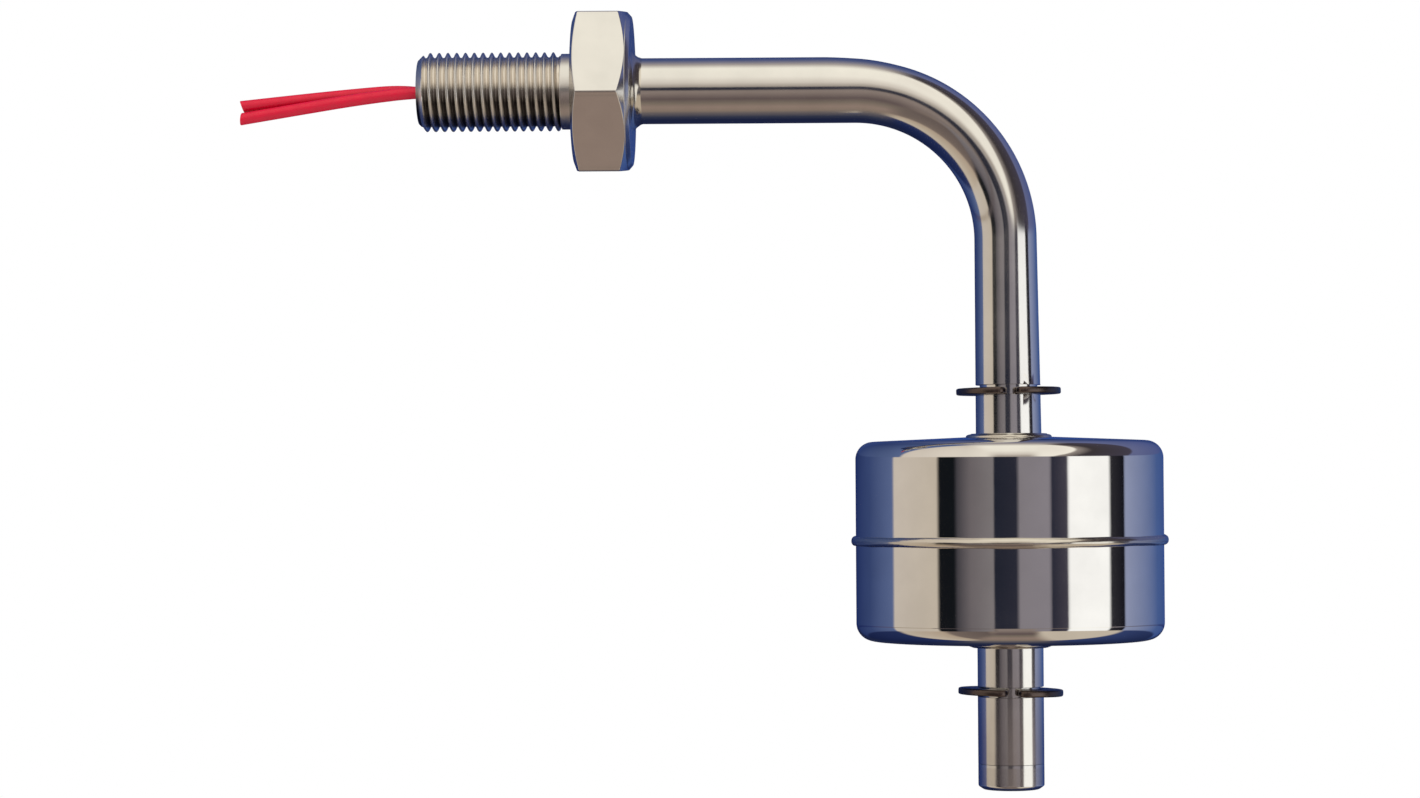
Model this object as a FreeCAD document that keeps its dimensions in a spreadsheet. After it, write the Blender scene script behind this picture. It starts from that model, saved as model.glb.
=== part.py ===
import FreeCAD, Part
import math
import os

import Sketcher

# Float level switch with a bent side-mount stem, in millimetres and degrees.
#
# The origin is the centre of the hexagon's seating face, on the thread's axis.
# -X runs out along the threaded shank to the leads, +X runs into the tank, and
# the stem hangs down along -Z. The float rides on the vertical run of the stem
# between two open stop rings, and a ring magnet in it works a reed switch
# inside the stem. The thread is drawn as rings of its true section and pitch.

# Driving dimensions
SIZES = {
    # Hexagon fitting
    "thread_dia": 9.525,
    "shank_length": 18.7,
    "shank_chamfer": 0.9,
    "thread_pitch": 1.0583,
    "thread_grooves": 15,
    "hex_flats": 19.05,
    "hex_length": 6.4,
    "hex_face_extra": 0.1,
    "hex_chamfer_angle": 30,
    "hex_turn": 6.5,
    "boss_inset": 0.025,
    "boss_length": 0.65,
    "boss_edge": 0.25,
    "fitting_bore": 5.5,
    "socket_depth": 3,
    "socket_gap": 0.03,
    "fillet_leg": 1.2,
    "fillet_hollow": 1.6,
    # Stem tube
    "tube_dia": 7.9375,
    "tube_wall": 1.245,
    "bend_start": 33.9,
    "bend_radius": 18.25,
    "bend_squeeze": 0.4,
    "bend_bulge": 0.25,
    # Stop rings and their grooves
    "ring_drop": 18.1,
    "ring_spacing": 36.2,
    "stem_tip": 8.6,
    "upper_ring_tip": 2,
    "groove_depth": 0.5,
    "groove_play": 0.34,
    "ring_dia": 12.6,
    "ring_thickness": 0.8,
    "ring_gap": 1.5,
    "ring_end_round": 1.1,
    "ring_edge": 0.15,
    "ring_fit": 0.04,
    # End plug
    "plug_length": 3.1,
    "plug_round": 1.2,
    "spigot_length": 3,
    "spigot_lead_in": 0.5,
    "spigot_gap": 0.03,
    # Float
    "float_dia": 37,
    "float_wall": 0.35,
    "float_edge": 11.85,
    "float_rise": 0.6,
    "float_corner": 2.1,
    "seam_rise": 0.55,
    "seam_width": 1.2,
    "float_clearance": 0.28,
    "guide_wall": 0.4,
    "guide_stand": 0.4,
    "guide_gap": 0.02,
    "guide_edge": 0.16,
    "collar_leg": 0.5,
    # Magnet and its retainers
    "magnet_dia": 16,
    "magnet_height": 5,
    "magnet_chamfer": 0.5,
    "magnet_gap": 0.1,
    "washer_ring": 1.5,
    "washer_thickness": 0.4,
    "washer_teeth": 8,
    "tooth_width": 1.8,
    "tooth_length": 0.85,
    # Reed switch
    "reed_drop": 0.7,
    "lead_offset": 1.2,
    "glass_dia": 2.2,
    "glass_length": 14,
    "glass_wall": 0.35,
    "glass_seal": 1.6,
    "blade_wire": 0.54,
    "blade_width": 1.0,
    "blade_thickness": 0.2,
    "blade_gap": 0.1,
    "blade_overlap": 1.2,
    "wire_gap": 0.02,
    "reed_turn": 0.7,
    "splice_dia": 1.4,
    "splice_length": 3,
    "splice_step": 0.5,
    "butt_gap": 0.2,
    "sleeve_wall": 0.15,
    "sleeve_gap": 0.03,
    # Leads and potting
    "lead_dia": 1.45,
    "conductor_dia": 0.6,
    "lead_gap": 0.02,
    "potting_length": 6,
    "potting_recess": 0.2,
}

# Route of each free tail: chosen points, from the mouth of the shank to the cut end
LEAD_TAILS = {
    "lead_a": [(-18.2, -1.2, 0.0), (-25.4, -0.95, -0.92), (-32.8, -0.55, -2.02), (-40.3, -0.3, -3.3)],
    "lead_b": [(-18.2, 1.2, 0.0), (-25.4, 1.0, -0.22), (-32.8, 0.7, -0.98), (-40.3, 0.35, -1.93)],
}

# Each free arc takes this share of the shorter run beside it
ARC_SHARE = 0.45

# How far a cutting profile reaches past the metal
CLEAR = "1"

# Expressions that several pieces share
FITTING_END = "(dims.hex_length + dims.boss_length)"
THREAD_CREST = "(dims.thread_dia / 2)"
HEX_CORNER = "(dims.hex_flats / sqrt(3))"
TUBE_RADIUS = "(dims.tube_dia / 2)"
TUBE_BORE = "(dims.tube_dia / 2 - dims.tube_wall)"
HEX_FACE = "(dims.hex_flats / 2 + dims.hex_face_extra / 2)"
STEM_X = "(dims.bend_start + dims.bend_radius)"
UPPER_RING_Z = "(-dims.bend_radius - dims.ring_drop)"
LOWER_RING_Z = f"({UPPER_RING_Z} - dims.ring_spacing)"
RING_HEIGHTS = {"upper": UPPER_RING_Z, "lower": LOWER_RING_Z}
GROOVE_WIDTH = "(dims.ring_thickness + dims.groove_play)"
TUBE_BOTTOM = f"({LOWER_RING_Z} - dims.stem_tip)"
FLOAT_Z = f"({UPPER_RING_Z} / 2 + {LOWER_RING_Z} / 2)"
FLOAT_RADIUS = "(dims.float_dia / 2)"
FLOAT_TOP = "(dims.float_edge + dims.float_rise)"
GUIDE_BORE = f"({TUBE_RADIUS} + dims.float_clearance)"
GUIDE_RADIUS = f"({GUIDE_BORE} + dims.guide_wall)"
GUIDE_HOLE = f"({GUIDE_RADIUS} + dims.guide_gap)"
REED_Z = f"({FLOAT_Z} - dims.reed_drop)"
BLADE_RADIUS = "(dims.blade_wire / 2)"
GLASS_END = "(dims.glass_length / 2)"
CAVITY_END = "(dims.glass_length / 2 - dims.glass_seal)"
BLADE_ROOT = f"({CAVITY_END} - 2 * dims.glass_wall)"
CONDUCTOR_RADIUS = "(dims.conductor_dia / 2)"
SPLICE_BORE = f"({CONDUCTOR_RADIUS} + dims.wire_gap)"
UPPER_SPLICE_Z = f"({GLASS_END} + dims.splice_step)"
LOWER_SPLICE_Z = f"(-{GLASS_END} - dims.splice_step)"
SPLICE_ENTRY = "((dims.splice_length - dims.butt_gap) / 2)"

doc = FreeCAD.newDocument("FloatLevelSwitch")
sheet = doc.addObject("Spreadsheet::Sheet", "dims")
for row, (alias, number) in enumerate(SIZES.items(), start=1):
    sheet.set(f"A{row}", alias)
    sheet.set(f"B{row}", str(number))
    sheet.setAlias(f"B{row}", alias)
doc.recompute()

parts = []


def size(expression):
    """The value of an expression over the sheet, as a number."""
    return float(sheet.evalExpression(expression))


def new_body(label, x="0", y="0", z="0", turn=None):
    """A body whose origin sits at the given expressions, turned about X if asked."""
    body = doc.addObject("PartDesign::Body", label)
    body.Label = label
    if turn:
        body.Placement = FreeCAD.Placement(FreeCAD.Vector(), FreeCAD.Rotation(FreeCAD.Vector(1, 0, 0), 1))
        body.setExpression(".Placement.Rotation.Angle", turn)
    for direction, expression in zip("xyz", (x, y, z)):
        body.setExpression(f".Placement.Base.{direction}", expression)
    parts.append(body)
    return body


def new_sketch(body, name, plane, offset=("0", "0", "0"), tilt=None):
    """A sketch on one of the body's own origin planes, moved by expressions in that plane's own axes."""
    sketch = body.newObject("Sketcher::SketchObject", name)
    planes = {feature.Role: feature for feature in body.Origin.OriginFeatures}
    sketch.AttachmentSupport = (planes[plane], [""])
    sketch.MapMode = "FlatFace"
    if tilt:
        rotation = FreeCAD.Rotation(FreeCAD.Vector(1, 0, 0), 1)
        sketch.AttachmentOffset = FreeCAD.Placement(FreeCAD.Vector(), rotation)
        sketch.setExpression(".AttachmentOffset.Rotation.Angle", tilt)
    for direction, expression in zip("xyz", offset):
        sketch.setExpression(f".AttachmentOffset.Base.{direction}", expression)
    return sketch


def bind(sketch, constraint, expression):
    index = sketch.addConstraint(constraint)
    sketch.setExpression(f"Constraints[{index}]", expression)


def arc_between(start, end, radius):
    """The minor arc from start to end. A positive radius bulges to the left of the way from start to end."""
    chord = end - start
    middle = (start + end) / 2
    left = FreeCAD.Vector(-chord.y, chord.x, 0).normalize()
    rise = math.sqrt(max(radius ** 2 - chord.Length ** 2 / 4, 0))
    side = 1 if radius > 0 else -1
    top = middle + left * side * (abs(radius) - rise)
    return Part.Arc(start, top, end)


def outline(sketch, corners, arcs=None):
    """A closed outline through corners given as pairs of expressions.

    arcs maps the number of a side to its radius and to the side it bulges to,
    1 for left or -1 for right on the way around.
    """
    arcs = arcs or {}
    points = [FreeCAD.Vector(size(x), size(y), 0) for x, y in corners]
    for index, start in enumerate(points):
        end = points[(index + 1) % len(points)]
        if index in arcs:
            radius, side = arcs[index]
            sketch.addGeometry(arc_between(start, end, side * size(radius)))
        else:
            sketch.addGeometry(Part.LineSegment(start, end))
    starts = [start_vertex(sketch, index, point) for index, point in enumerate(points)]
    for index, vertex in enumerate(starts):
        following = (index + 1) % len(points)
        joined = Sketcher.Constraint("Coincident", index, 3 - vertex, following, starts[following])
        sketch.addConstraint(joined)
    for index, (x, y) in enumerate(corners):
        point = points[index]
        bind(sketch, Sketcher.Constraint("DistanceX", -1, 1, index, starts[index], point.x), x)
        bind(sketch, Sketcher.Constraint("DistanceY", -1, 1, index, starts[index], point.y), y)
    for index, (radius, _) in arcs.items():
        bind(sketch, Sketcher.Constraint("Radius", index, size(radius)), radius)


def start_vertex(sketch, index, point):
    """Which end of a side is its start, because a sketch stores every arc anticlockwise."""
    near = (sketch.getPoint(index, 1) - point).Length < (sketch.getPoint(index, 2) - point).Length
    return 1 if near else 2


def circle(sketch, radius, x="0", y="0"):
    centre = FreeCAD.Vector(size(x), size(y), 0)
    index = sketch.addGeometry(Part.Circle(centre, FreeCAD.Vector(0, 0, 1), size(radius)))
    if (x, y) == ("0", "0"):
        sketch.addConstraint(Sketcher.Constraint("Coincident", index, 3, -1, 1))
    else:
        bind(sketch, Sketcher.Constraint("DistanceX", -1, 1, index, 3, centre.x), x)
        bind(sketch, Sketcher.Constraint("DistanceY", -1, 1, index, 3, centre.y), y)
    bind(sketch, Sketcher.Constraint("Radius", index, size(radius)), radius)


def ellipse(sketch, wide, high):
    """An ellipse about the sketch's origin, its long axis along the sketch's own X."""
    origin = FreeCAD.Vector()
    shape = Part.Ellipse(FreeCAD.Vector(size(wide), 0, 0), FreeCAD.Vector(0, size(high), 0), origin)
    index = sketch.addGeometry(shape)
    sketch.exposeInternalGeometry(index)
    long_axis = index + 1
    short_axis = index + 2
    sketch.addConstraint(Sketcher.Constraint("Coincident", index, 3, -1, 1))
    sketch.addConstraint(Sketcher.Constraint("Horizontal", long_axis))
    bind(sketch, Sketcher.Constraint("Distance", long_axis, 2 * size(wide)), f"2 * {wide}")
    bind(sketch, Sketcher.Constraint("Distance", short_axis, 2 * size(high)), f"2 * {high}")


def feature(body, kind, name, sketch):
    made = body.newObject(f"PartDesign::{kind}", name)
    made.Profile = sketch
    return made


def revolve(body, name, corners, arcs=None, about="V_Axis", cut=False, offset=("0", "0", "0")):
    """A turned form: its half section in the body's XZ plane, revolved or grooved about one sketch axis."""
    sketch = new_sketch(body, f"{name}_section", "XZ_Plane", offset)
    outline(sketch, corners, arcs)
    made = feature(body, "Groove" if cut else "Revolution", name, sketch)
    made.ReferenceAxis = (sketch, [about])
    made.Angle = 360
    doc.recompute()
    return made


def pad(body, name, sketch, length, symmetric=False, reverse=False):
    made = feature(body, "Pad", name, sketch)
    made.setExpression("Length", length)
    made.SideType = "Symmetric" if symmetric else "One side"
    made.Reversed = reverse
    doc.recompute()
    return made


def pocket(body, name, sketch, length):
    made = feature(body, "Pocket", name, sketch)
    made.setExpression("Length", length)
    made.SideType = "Symmetric"
    doc.recompute()
    return made


def dress(body, kind, name, base, wanted, amount):
    """A fillet or chamfer on the edges of a feature that a test picks out."""
    edges = [f"Edge{number}" for number, edge in enumerate(base.Shape.Edges, start=1) if wanted(edge)]
    made = body.newObject(f"PartDesign::{kind}", name)
    made.Base = (base, edges)
    made.setExpression("Radius" if kind == "Fillet" else "Size", amount)
    doc.recompute()
    return made


def ring_edge(radius, height):
    """A test for the circular edge of a turned form at a radius and a height."""
    wanted_radius = size(radius)
    wanted_height = size(height)

    def test(edge):
        if not isinstance(edge.Curve, Part.Circle):
            return False
        same_radius = abs(edge.Curve.Radius - wanted_radius) < 1e-4
        return same_radius and abs(edge.Curve.Center.z - wanted_height) < 1e-4

    return test


# Hexagon fitting

def hex_fitting():
    body = new_body("hex_fitting", turn="dims.hex_turn")
    flats = new_sketch(body, "hex_section", "YZ_Plane")
    corners = []
    for corner in range(6):
        angle = f"{60 * corner} deg"
        corners.append((f"{HEX_CORNER} * cos({angle})", f"{HEX_CORNER} * sin({angle})"))
    outline(flats, corners)
    pad(body, "hex_prism", flats, "dims.hex_length")

    past = f"({HEX_CORNER} + {CLEAR})"
    depth = f"(({past} - {HEX_FACE}) * tan(dims.hex_chamfer_angle * 1 deg))"
    revolve(body, "seat_chamfer", [
        ("0", HEX_FACE), (depth, past), ("0", past)], about="H_Axis", cut=True)
    revolve(body, "boss_chamfer", [
        ("dims.hex_length", HEX_FACE), (f"dims.hex_length - {depth}", past), ("dims.hex_length", past)],
        about="H_Axis", cut=True)

    revolve(body, "shank", [
        ("-dims.shank_length", "0"),
        ("-dims.shank_length", f"{THREAD_CREST} - dims.shank_chamfer"),
        ("-dims.shank_length + dims.shank_chamfer", THREAD_CREST),
        ("dims.hex_length / 2", THREAD_CREST),
        ("dims.hex_length / 2", "0")], about="H_Axis")
    rim = "(dims.hex_flats / 2 - dims.boss_inset)"
    revolve(body, "boss", [
        ("dims.hex_length / 2", "0"),
        ("dims.hex_length / 2", rim),
        (f"{FITTING_END} - dims.boss_edge", rim),
        (FITTING_END, f"{rim} - dims.boss_edge"),
        (FITTING_END, "0")], about="H_Axis")

    bore = "dims.fitting_bore / 2"
    socket = f"{TUBE_RADIUS} + dims.socket_gap"
    revolve(body, "bore_and_socket", [
        (f"-dims.shank_length - {CLEAR}", "0"),
        (f"-dims.shank_length - {CLEAR}", bore),
        (f"{FITTING_END} - dims.socket_depth", bore),
        (f"{FITTING_END} - dims.socket_depth", socket),
        (f"{FITTING_END} + {CLEAR}", socket),
        (f"{FITTING_END} + {CLEAR}", "0")], about="H_Axis", cut=True)
    cut_thread(body)


def cut_thread(body):
    """Grooves of the 60 degree thread, with flat crests and roots, from the tip's chamfer to the neck."""
    root = f"({THREAD_CREST} - 5 / 16 * sqrt(3) * dims.thread_pitch)"
    past = f"({THREAD_CREST} + dims.thread_pitch / 16)"
    middle = "(-dims.shank_length + dims.shank_chamfer + dims.thread_pitch / 2)"
    half_root = "(dims.thread_pitch / 8)"
    half_mouth = f"({half_root} + ({past} - {root}) * tan(30 deg))"
    groove = revolve(body, "thread_groove", [
        (f"{middle} - {half_mouth}", past),
        (f"{middle} - {half_root}", root),
        (f"{middle} + {half_root}", root),
        (f"{middle} + {half_mouth}", past)], about="H_Axis", cut=True)
    grooves = body.newObject("PartDesign::LinearPattern", "thread_grooves")
    grooves.Originals = [groove]
    grooves.Direction = (groove.Profile[0], ["H_Axis"])
    grooves.Mode = "Spacing"
    grooves.setExpression("Offset", "dims.thread_pitch")
    grooves.setExpression("Occurrences", "dims.thread_grooves")
    body.Tip = grooves
    doc.recompute()


def fitting_weld():
    body = new_body("fitting_weld")
    revolve(body, "weld_fillet", [
        (FITTING_END, TUBE_RADIUS),
        (f"{FITTING_END} + dims.fillet_leg", TUBE_RADIUS),
        (FITTING_END, f"{TUBE_RADIUS} + dims.fillet_leg")], {1: ("dims.fillet_hollow", 1)}, about="H_Axis")


# Stem

def tube_section(body, name, degrees, wide, high):
    """One section of the bend: two ellipses across the tube, that many degrees round the bend."""
    angle = f"{degrees} deg"
    drop = f"-dims.bend_radius * (1 - cos({angle}))"
    reach = f"dims.bend_start + dims.bend_radius * sin({angle})"
    sketch = new_sketch(body, name, "YZ_Plane", ("0", drop, reach), tilt=angle)
    for inset in ("0", "dims.tube_wall"):
        ellipse(sketch, f"({wide} - {inset})", f"({high} - {inset})")
    return sketch


def stem_tube():
    """A straight run, a bend whose section is squeezed flatter in its middle, and a straight run down."""
    body = new_body("stem_tube")
    run = new_sketch(body, "run_section", "YZ_Plane", ("0", "0", f"{FITTING_END} - dims.socket_depth"))
    circle(run, TUBE_RADIUS)
    circle(run, TUBE_BORE)
    pad(body, "horizontal_run", run, f"dims.bend_start - {FITTING_END} + dims.socket_depth")

    path = new_sketch(body, "bend_path", "XZ_Plane")
    bend_centre = FreeCAD.Vector(size("dims.bend_start"), -size("dims.bend_radius"), 0)
    full = Part.Circle(bend_centre, FreeCAD.Vector(0, 0, 1), size("dims.bend_radius"))
    path.addGeometry(Part.ArcOfCircle(full, 0, math.pi / 2))
    bind(path, Sketcher.Constraint("DistanceX", -1, 1, 0, 3, bend_centre.x), "dims.bend_start")
    bind(path, Sketcher.Constraint("DistanceY", -1, 1, 0, 3, bend_centre.y), "-dims.bend_radius")
    bind(path, Sketcher.Constraint("DistanceX", -1, 1, 0, 2, bend_centre.x), "dims.bend_start")
    bind(path, Sketcher.Constraint("DistanceY", 0, 3, 0, 1, 0), "0")
    bind(path, Sketcher.Constraint("Radius", 0, size("dims.bend_radius")), "dims.bend_radius")
    sections = [
        tube_section(body, "bend_start_section", 0, TUBE_RADIUS, TUBE_RADIUS),
        tube_section(body, "bend_middle_section", 45,
                     f"({TUBE_RADIUS} + dims.bend_bulge / 2)", f"({TUBE_RADIUS} - dims.bend_squeeze / 2)"),
        tube_section(body, "bend_end_section", 90, TUBE_RADIUS, TUBE_RADIUS),
    ]
    bend = feature(body, "AdditivePipe", "bend", sections[0])
    bend.Spine = (path, ["Edge1"])
    bend.Transformation = "Multisection"
    bend.Sections = sections[1:]
    doc.recompute()

    drop = new_sketch(body, "drop_section", "XY_Plane", (STEM_X, "0", "-dims.bend_radius"))
    circle(drop, TUBE_RADIUS)
    circle(drop, TUBE_BORE)
    pad(body, "vertical_run", drop, "dims.ring_drop + dims.ring_spacing + dims.stem_tip", reverse=True)

    floor = f"{TUBE_RADIUS} - dims.groove_depth"
    mouth = f"{TUBE_RADIUS} + {CLEAR}"
    for ring, height in RING_HEIGHTS.items():
        below = f"{height} - {GROOVE_WIDTH} / 2"
        above = f"{height} + {GROOVE_WIDTH} / 2"
        revolve(body, f"{ring}_groove", [(floor, below), (mouth, below), (mouth, above), (floor, above)],
                cut=True, offset=(STEM_X, "0", "0"))


def end_plug():
    """The turned cap on the stem's end, with a spigot that locates it in the tube."""
    body = new_body("end_plug", STEM_X, "0", TUBE_BOTTOM)
    spigot = f"({TUBE_BORE} - dims.spigot_gap)"
    revolve(body, "plug", [
        ("0", "-dims.plug_length"),
        (f"{TUBE_RADIUS} - dims.plug_round", "-dims.plug_length"),
        (TUBE_RADIUS, "-dims.plug_length + dims.plug_round"),
        (TUBE_RADIUS, "0"),
        (spigot, "0"),
        (spigot, "dims.spigot_length - dims.spigot_lead_in"),
        (f"{spigot} - dims.spigot_lead_in", "dims.spigot_length"),
        ("0", "dims.spigot_length")], {1: ("dims.plug_round", -1)})


def stop_ring(name):
    """An open ring in its groove, with the gap towards -Y and rounded ends."""
    tip = "dims.upper_ring_tip" if name == "upper" else None
    body = new_body(f"{name}_stop_ring", STEM_X, "0", RING_HEIGHTS[name], turn=tip)
    blank = new_sketch(body, "ring_plan", "XY_Plane")
    circle(blank, "dims.ring_dia / 2")
    circle(blank, f"{TUBE_RADIUS} - dims.groove_depth + dims.ring_fit")
    pad(body, "ring", blank, "dims.ring_thickness", symmetric=True)
    gap = new_sketch(body, "gap_plan", "XY_Plane")
    reach = f"-dims.ring_dia / 2 - {CLEAR}"
    outline(gap, [
        ("-dims.ring_gap / 2", reach), ("dims.ring_gap / 2", reach),
        ("dims.ring_gap / 2", "0"), ("-dims.ring_gap / 2", "0")])
    opened = pocket(body, "gap", gap, f"dims.ring_thickness + {CLEAR}")
    half_gap = size("dims.ring_gap / 2")
    rounded = dress(
        body, "Fillet", "ring_ends", opened,
        lambda edge: is_upright(edge) and abs(abs(edge.Vertexes[0].X) - half_gap) < 1e-4
        and edge.Vertexes[0].Y < 0 and math.hypot(edge.Vertexes[0].X, edge.Vertexes[0].Y) > size(TUBE_RADIUS),
        "dims.ring_end_round")
    dress(
        body, "Chamfer", "ring_edges", rounded,
        lambda edge: isinstance(edge.Curve, Part.Circle)
        and abs(edge.Curve.Radius - size("dims.ring_dia / 2")) < 1e-4,
        "dims.ring_edge")


def is_upright(edge):
    ends = [vertex.Point for vertex in edge.Vertexes]
    return len(ends) == 2 and math.hypot(ends[0].x - ends[1].x, ends[0].y - ends[1].y) < 1e-6


# Float

def float_shell(name, turn=None):
    """A drawn cup whose end rises slightly to the guide tube's hole. The lower one is turned over."""
    body = new_body(f"float_{name}_shell", STEM_X, "0", FLOAT_Z, turn=turn)
    inner = f"({FLOAT_RADIUS} - dims.float_wall)"
    corner_start = "dims.float_edge - dims.float_corner"
    corner_end = f"{FLOAT_RADIUS} - dims.float_corner"
    revolve(body, "cup", [
        (FLOAT_RADIUS, "0"),
        (FLOAT_RADIUS, corner_start),
        (corner_end, "dims.float_edge"),
        (GUIDE_HOLE, FLOAT_TOP),
        (GUIDE_HOLE, f"{FLOAT_TOP} - dims.float_wall"),
        (corner_end, "dims.float_edge - dims.float_wall"),
        (inner, corner_start),
        (inner, "0")], {1: ("dims.float_corner", -1), 5: ("(dims.float_corner - dims.float_wall)", 1)})


def float_seam_weld():
    body = new_body("float_seam_weld", STEM_X, "0", FLOAT_Z)
    radius = "(((dims.seam_width / 2)^2 + dims.seam_rise^2) / (2 * dims.seam_rise))"
    revolve(body, "seam_bead", [
        (FLOAT_RADIUS, "-dims.seam_width / 2"),
        (FLOAT_RADIUS, "dims.seam_width / 2")], {0: (radius, -1)})


def float_guide_tube():
    body = new_body("float_guide_tube", STEM_X, "0", FLOAT_Z)
    reach = f"({FLOAT_TOP} + dims.guide_stand)"
    tube = revolve(body, "guide", [
        (GUIDE_BORE, f"-{reach}"),
        (GUIDE_RADIUS, f"-{reach}"),
        (GUIDE_RADIUS, reach),
        (GUIDE_BORE, reach)])
    upper = ring_edge(GUIDE_RADIUS, reach)
    lower = ring_edge(GUIDE_RADIUS, f"-{reach}")
    dress(body, "Chamfer", "guide_lips", tube, lambda edge: upper(edge) or lower(edge), "dims.guide_edge")


def collar_weld(name, turn=None):
    """The small bead that seals the guide tube to the shell's end."""
    body = new_body(f"{name}_collar_weld", STEM_X, "0", FLOAT_Z, turn=turn)
    height = "dims.guide_stand * 0.8"
    radius = f"((dims.collar_leg^2 + ({height})^2) / (2 * ({height})))"
    revolve(body, "collar_bead", [
        (GUIDE_HOLE, FLOAT_TOP),
        (f"{GUIDE_HOLE} + dims.collar_leg", FLOAT_TOP),
        (GUIDE_HOLE, f"{FLOAT_TOP} + {height}")], {1: (radius, -1)})


def float_magnet():
    body = new_body("float_magnet", STEM_X, "0", FLOAT_Z)
    bore = f"({GUIDE_RADIUS} + dims.magnet_gap)"
    half = "(dims.magnet_height / 2)"
    ring = revolve(body, "magnet", [
        (bore, f"-{half}"), ("dims.magnet_dia / 2", f"-{half}"), ("dims.magnet_dia / 2", half), (bore, half)])
    top = ring_edge("dims.magnet_dia / 2", half)
    bottom = ring_edge("dims.magnet_dia / 2", f"-{half}")
    dress(
        body, "Chamfer", "magnet_edges", ring,
        lambda edge: top(edge) or bottom(edge), "dims.magnet_chamfer")


def magnet_retainer(name, side):
    """A push-on washer whose teeth grip the guide tube and hold the magnet in place."""
    middle = f"{FLOAT_Z} + {side} * (dims.magnet_height + dims.washer_thickness) / 2"
    body = new_body(f"magnet_retainer_{name}", STEM_X, "0", middle)
    rim = new_sketch(body, "rim_plan", "XY_Plane")
    inside = f"({GUIDE_RADIUS} + dims.tooth_length)"
    circle(rim, f"{inside} + dims.washer_ring")
    circle(rim, inside)
    pad(body, "rim", rim, "dims.washer_thickness", symmetric=True)
    plan = new_sketch(body, "tooth_plan", "XY_Plane")
    tip = f"{GUIDE_RADIUS} + dims.guide_gap"
    root = f"{inside} + dims.washer_ring / 2"
    outline(plan, [
        (tip, "-dims.tooth_width / 2"), (root, "-dims.tooth_width / 2"),
        (root, "dims.tooth_width / 2"), (tip, "dims.tooth_width / 2")])
    tooth = pad(body, "tooth", plan, "dims.washer_thickness", symmetric=True)
    teeth = body.newObject("PartDesign::PolarPattern", "teeth")
    teeth.Originals = [tooth]
    teeth.Axis = (plan, ["N_Axis"])
    teeth.Angle = 360
    teeth.setExpression("Occurrences", "dims.washer_teeth")
    body.Tip = teeth
    doc.recompute()


# Reed switch

def reed_glass():
    """The sealed capsule, closed onto the two wires at its ends."""
    body = new_body("reed_glass", STEM_X, "-dims.lead_offset", REED_Z)
    outer = "(dims.glass_dia / 2)"
    inner = "(dims.glass_dia / 2 - dims.glass_wall)"
    hole = f"({BLADE_RADIUS} + dims.wire_gap)"
    rounding = f"({outer} - {hole})"
    revolve(body, "capsule", [
        (hole, f"-{GLASS_END}"),
        (outer, f"-{GLASS_END} + {rounding}"),
        (outer, f"{GLASS_END} - {rounding}"),
        (hole, GLASS_END),
        (hole, CAVITY_END),
        (inner, f"{CAVITY_END} - {inner} + {hole}"),
        (inner, f"-{CAVITY_END} + {inner} - {hole}"),
        (hole, f"-{CAVITY_END}")], {0: (rounding, -1), 2: (rounding, -1)})


def reed_blade(name, side):
    """A wire that is flattened into a blade inside the glass. The lower wire is bent back to its splice."""
    body = new_body(f"{name}_reed_blade", STEM_X, "-dims.lead_offset", REED_Z)
    wire = new_sketch(body, "wire_section", "XY_Plane", ("0", "0", f"{side} * {BLADE_ROOT}"))
    circle(wire, BLADE_RADIUS)
    if name == "upper":
        pad(body, "wire", wire, f"{GLASS_END} - {BLADE_ROOT} + dims.splice_step + {SPLICE_ENTRY}")
    else:
        path = new_sketch(body, "wire_path", "YZ_Plane")
        start = FreeCAD.Vector(0, -size(BLADE_ROOT), 0)
        turn_z = f"({LOWER_SPLICE_Z} - dims.splice_length - dims.reed_turn)"
        low = FreeCAD.Vector(0, size(turn_z), 0)
        across = FreeCAD.Vector(2 * size("dims.lead_offset"), low.y, 0)
        splice_end = f"{LOWER_SPLICE_Z} - dims.splice_length + {SPLICE_ENTRY}"
        finish = FreeCAD.Vector(across.x, size(splice_end), 0)
        path.addGeometry(Part.LineSegment(start, low))
        path.addGeometry(arc_between(low, across, -size("dims.lead_offset")))
        path.addGeometry(Part.LineSegment(across, finish))
        path.addConstraint(Sketcher.Constraint("Tangent", 0, 2, 1, 1))
        path.addConstraint(Sketcher.Constraint("Tangent", 1, 2, 2, 1))
        path.addConstraint(Sketcher.Constraint("Vertical", 0))
        path.addConstraint(Sketcher.Constraint("Vertical", 2))
        path.addConstraint(Sketcher.Constraint("PointOnObject", 0, 1, -2))
        bind(path, Sketcher.Constraint("DistanceY", -1, 1, 0, 1, start.y), f"-{BLADE_ROOT}")
        bind(path, Sketcher.Constraint("DistanceY", -1, 1, 0, 2, low.y), turn_z)
        bind(path, Sketcher.Constraint("DistanceX", -1, 1, 2, 1, across.x), "2 * dims.lead_offset")
        bind(path, Sketcher.Constraint("DistanceY", -1, 1, 2, 2, finish.y), splice_end)
        pipe = feature(body, "AdditivePipe", "wire", wire)
        pipe.Spine = (path, ["Edge1", "Edge2", "Edge3"])
        doc.recompute()
    blade = new_sketch(body, "blade_section", "XY_Plane", ("0", "0", f"-{side} * dims.blade_overlap / 2"))
    near = f"{side} * dims.blade_gap / 2"
    far = f"{side} * (dims.blade_gap / 2 + dims.blade_thickness)"
    outline(blade, [
        (near, "-dims.blade_width / 2"), (far, "-dims.blade_width / 2"),
        (far, "dims.blade_width / 2"), (near, "dims.blade_width / 2")])
    reach = f"{CAVITY_END} + dims.blade_overlap / 2 - dims.glass_wall"
    pad(body, "blade", blade, reach, reverse=(name == "lower"))


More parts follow.
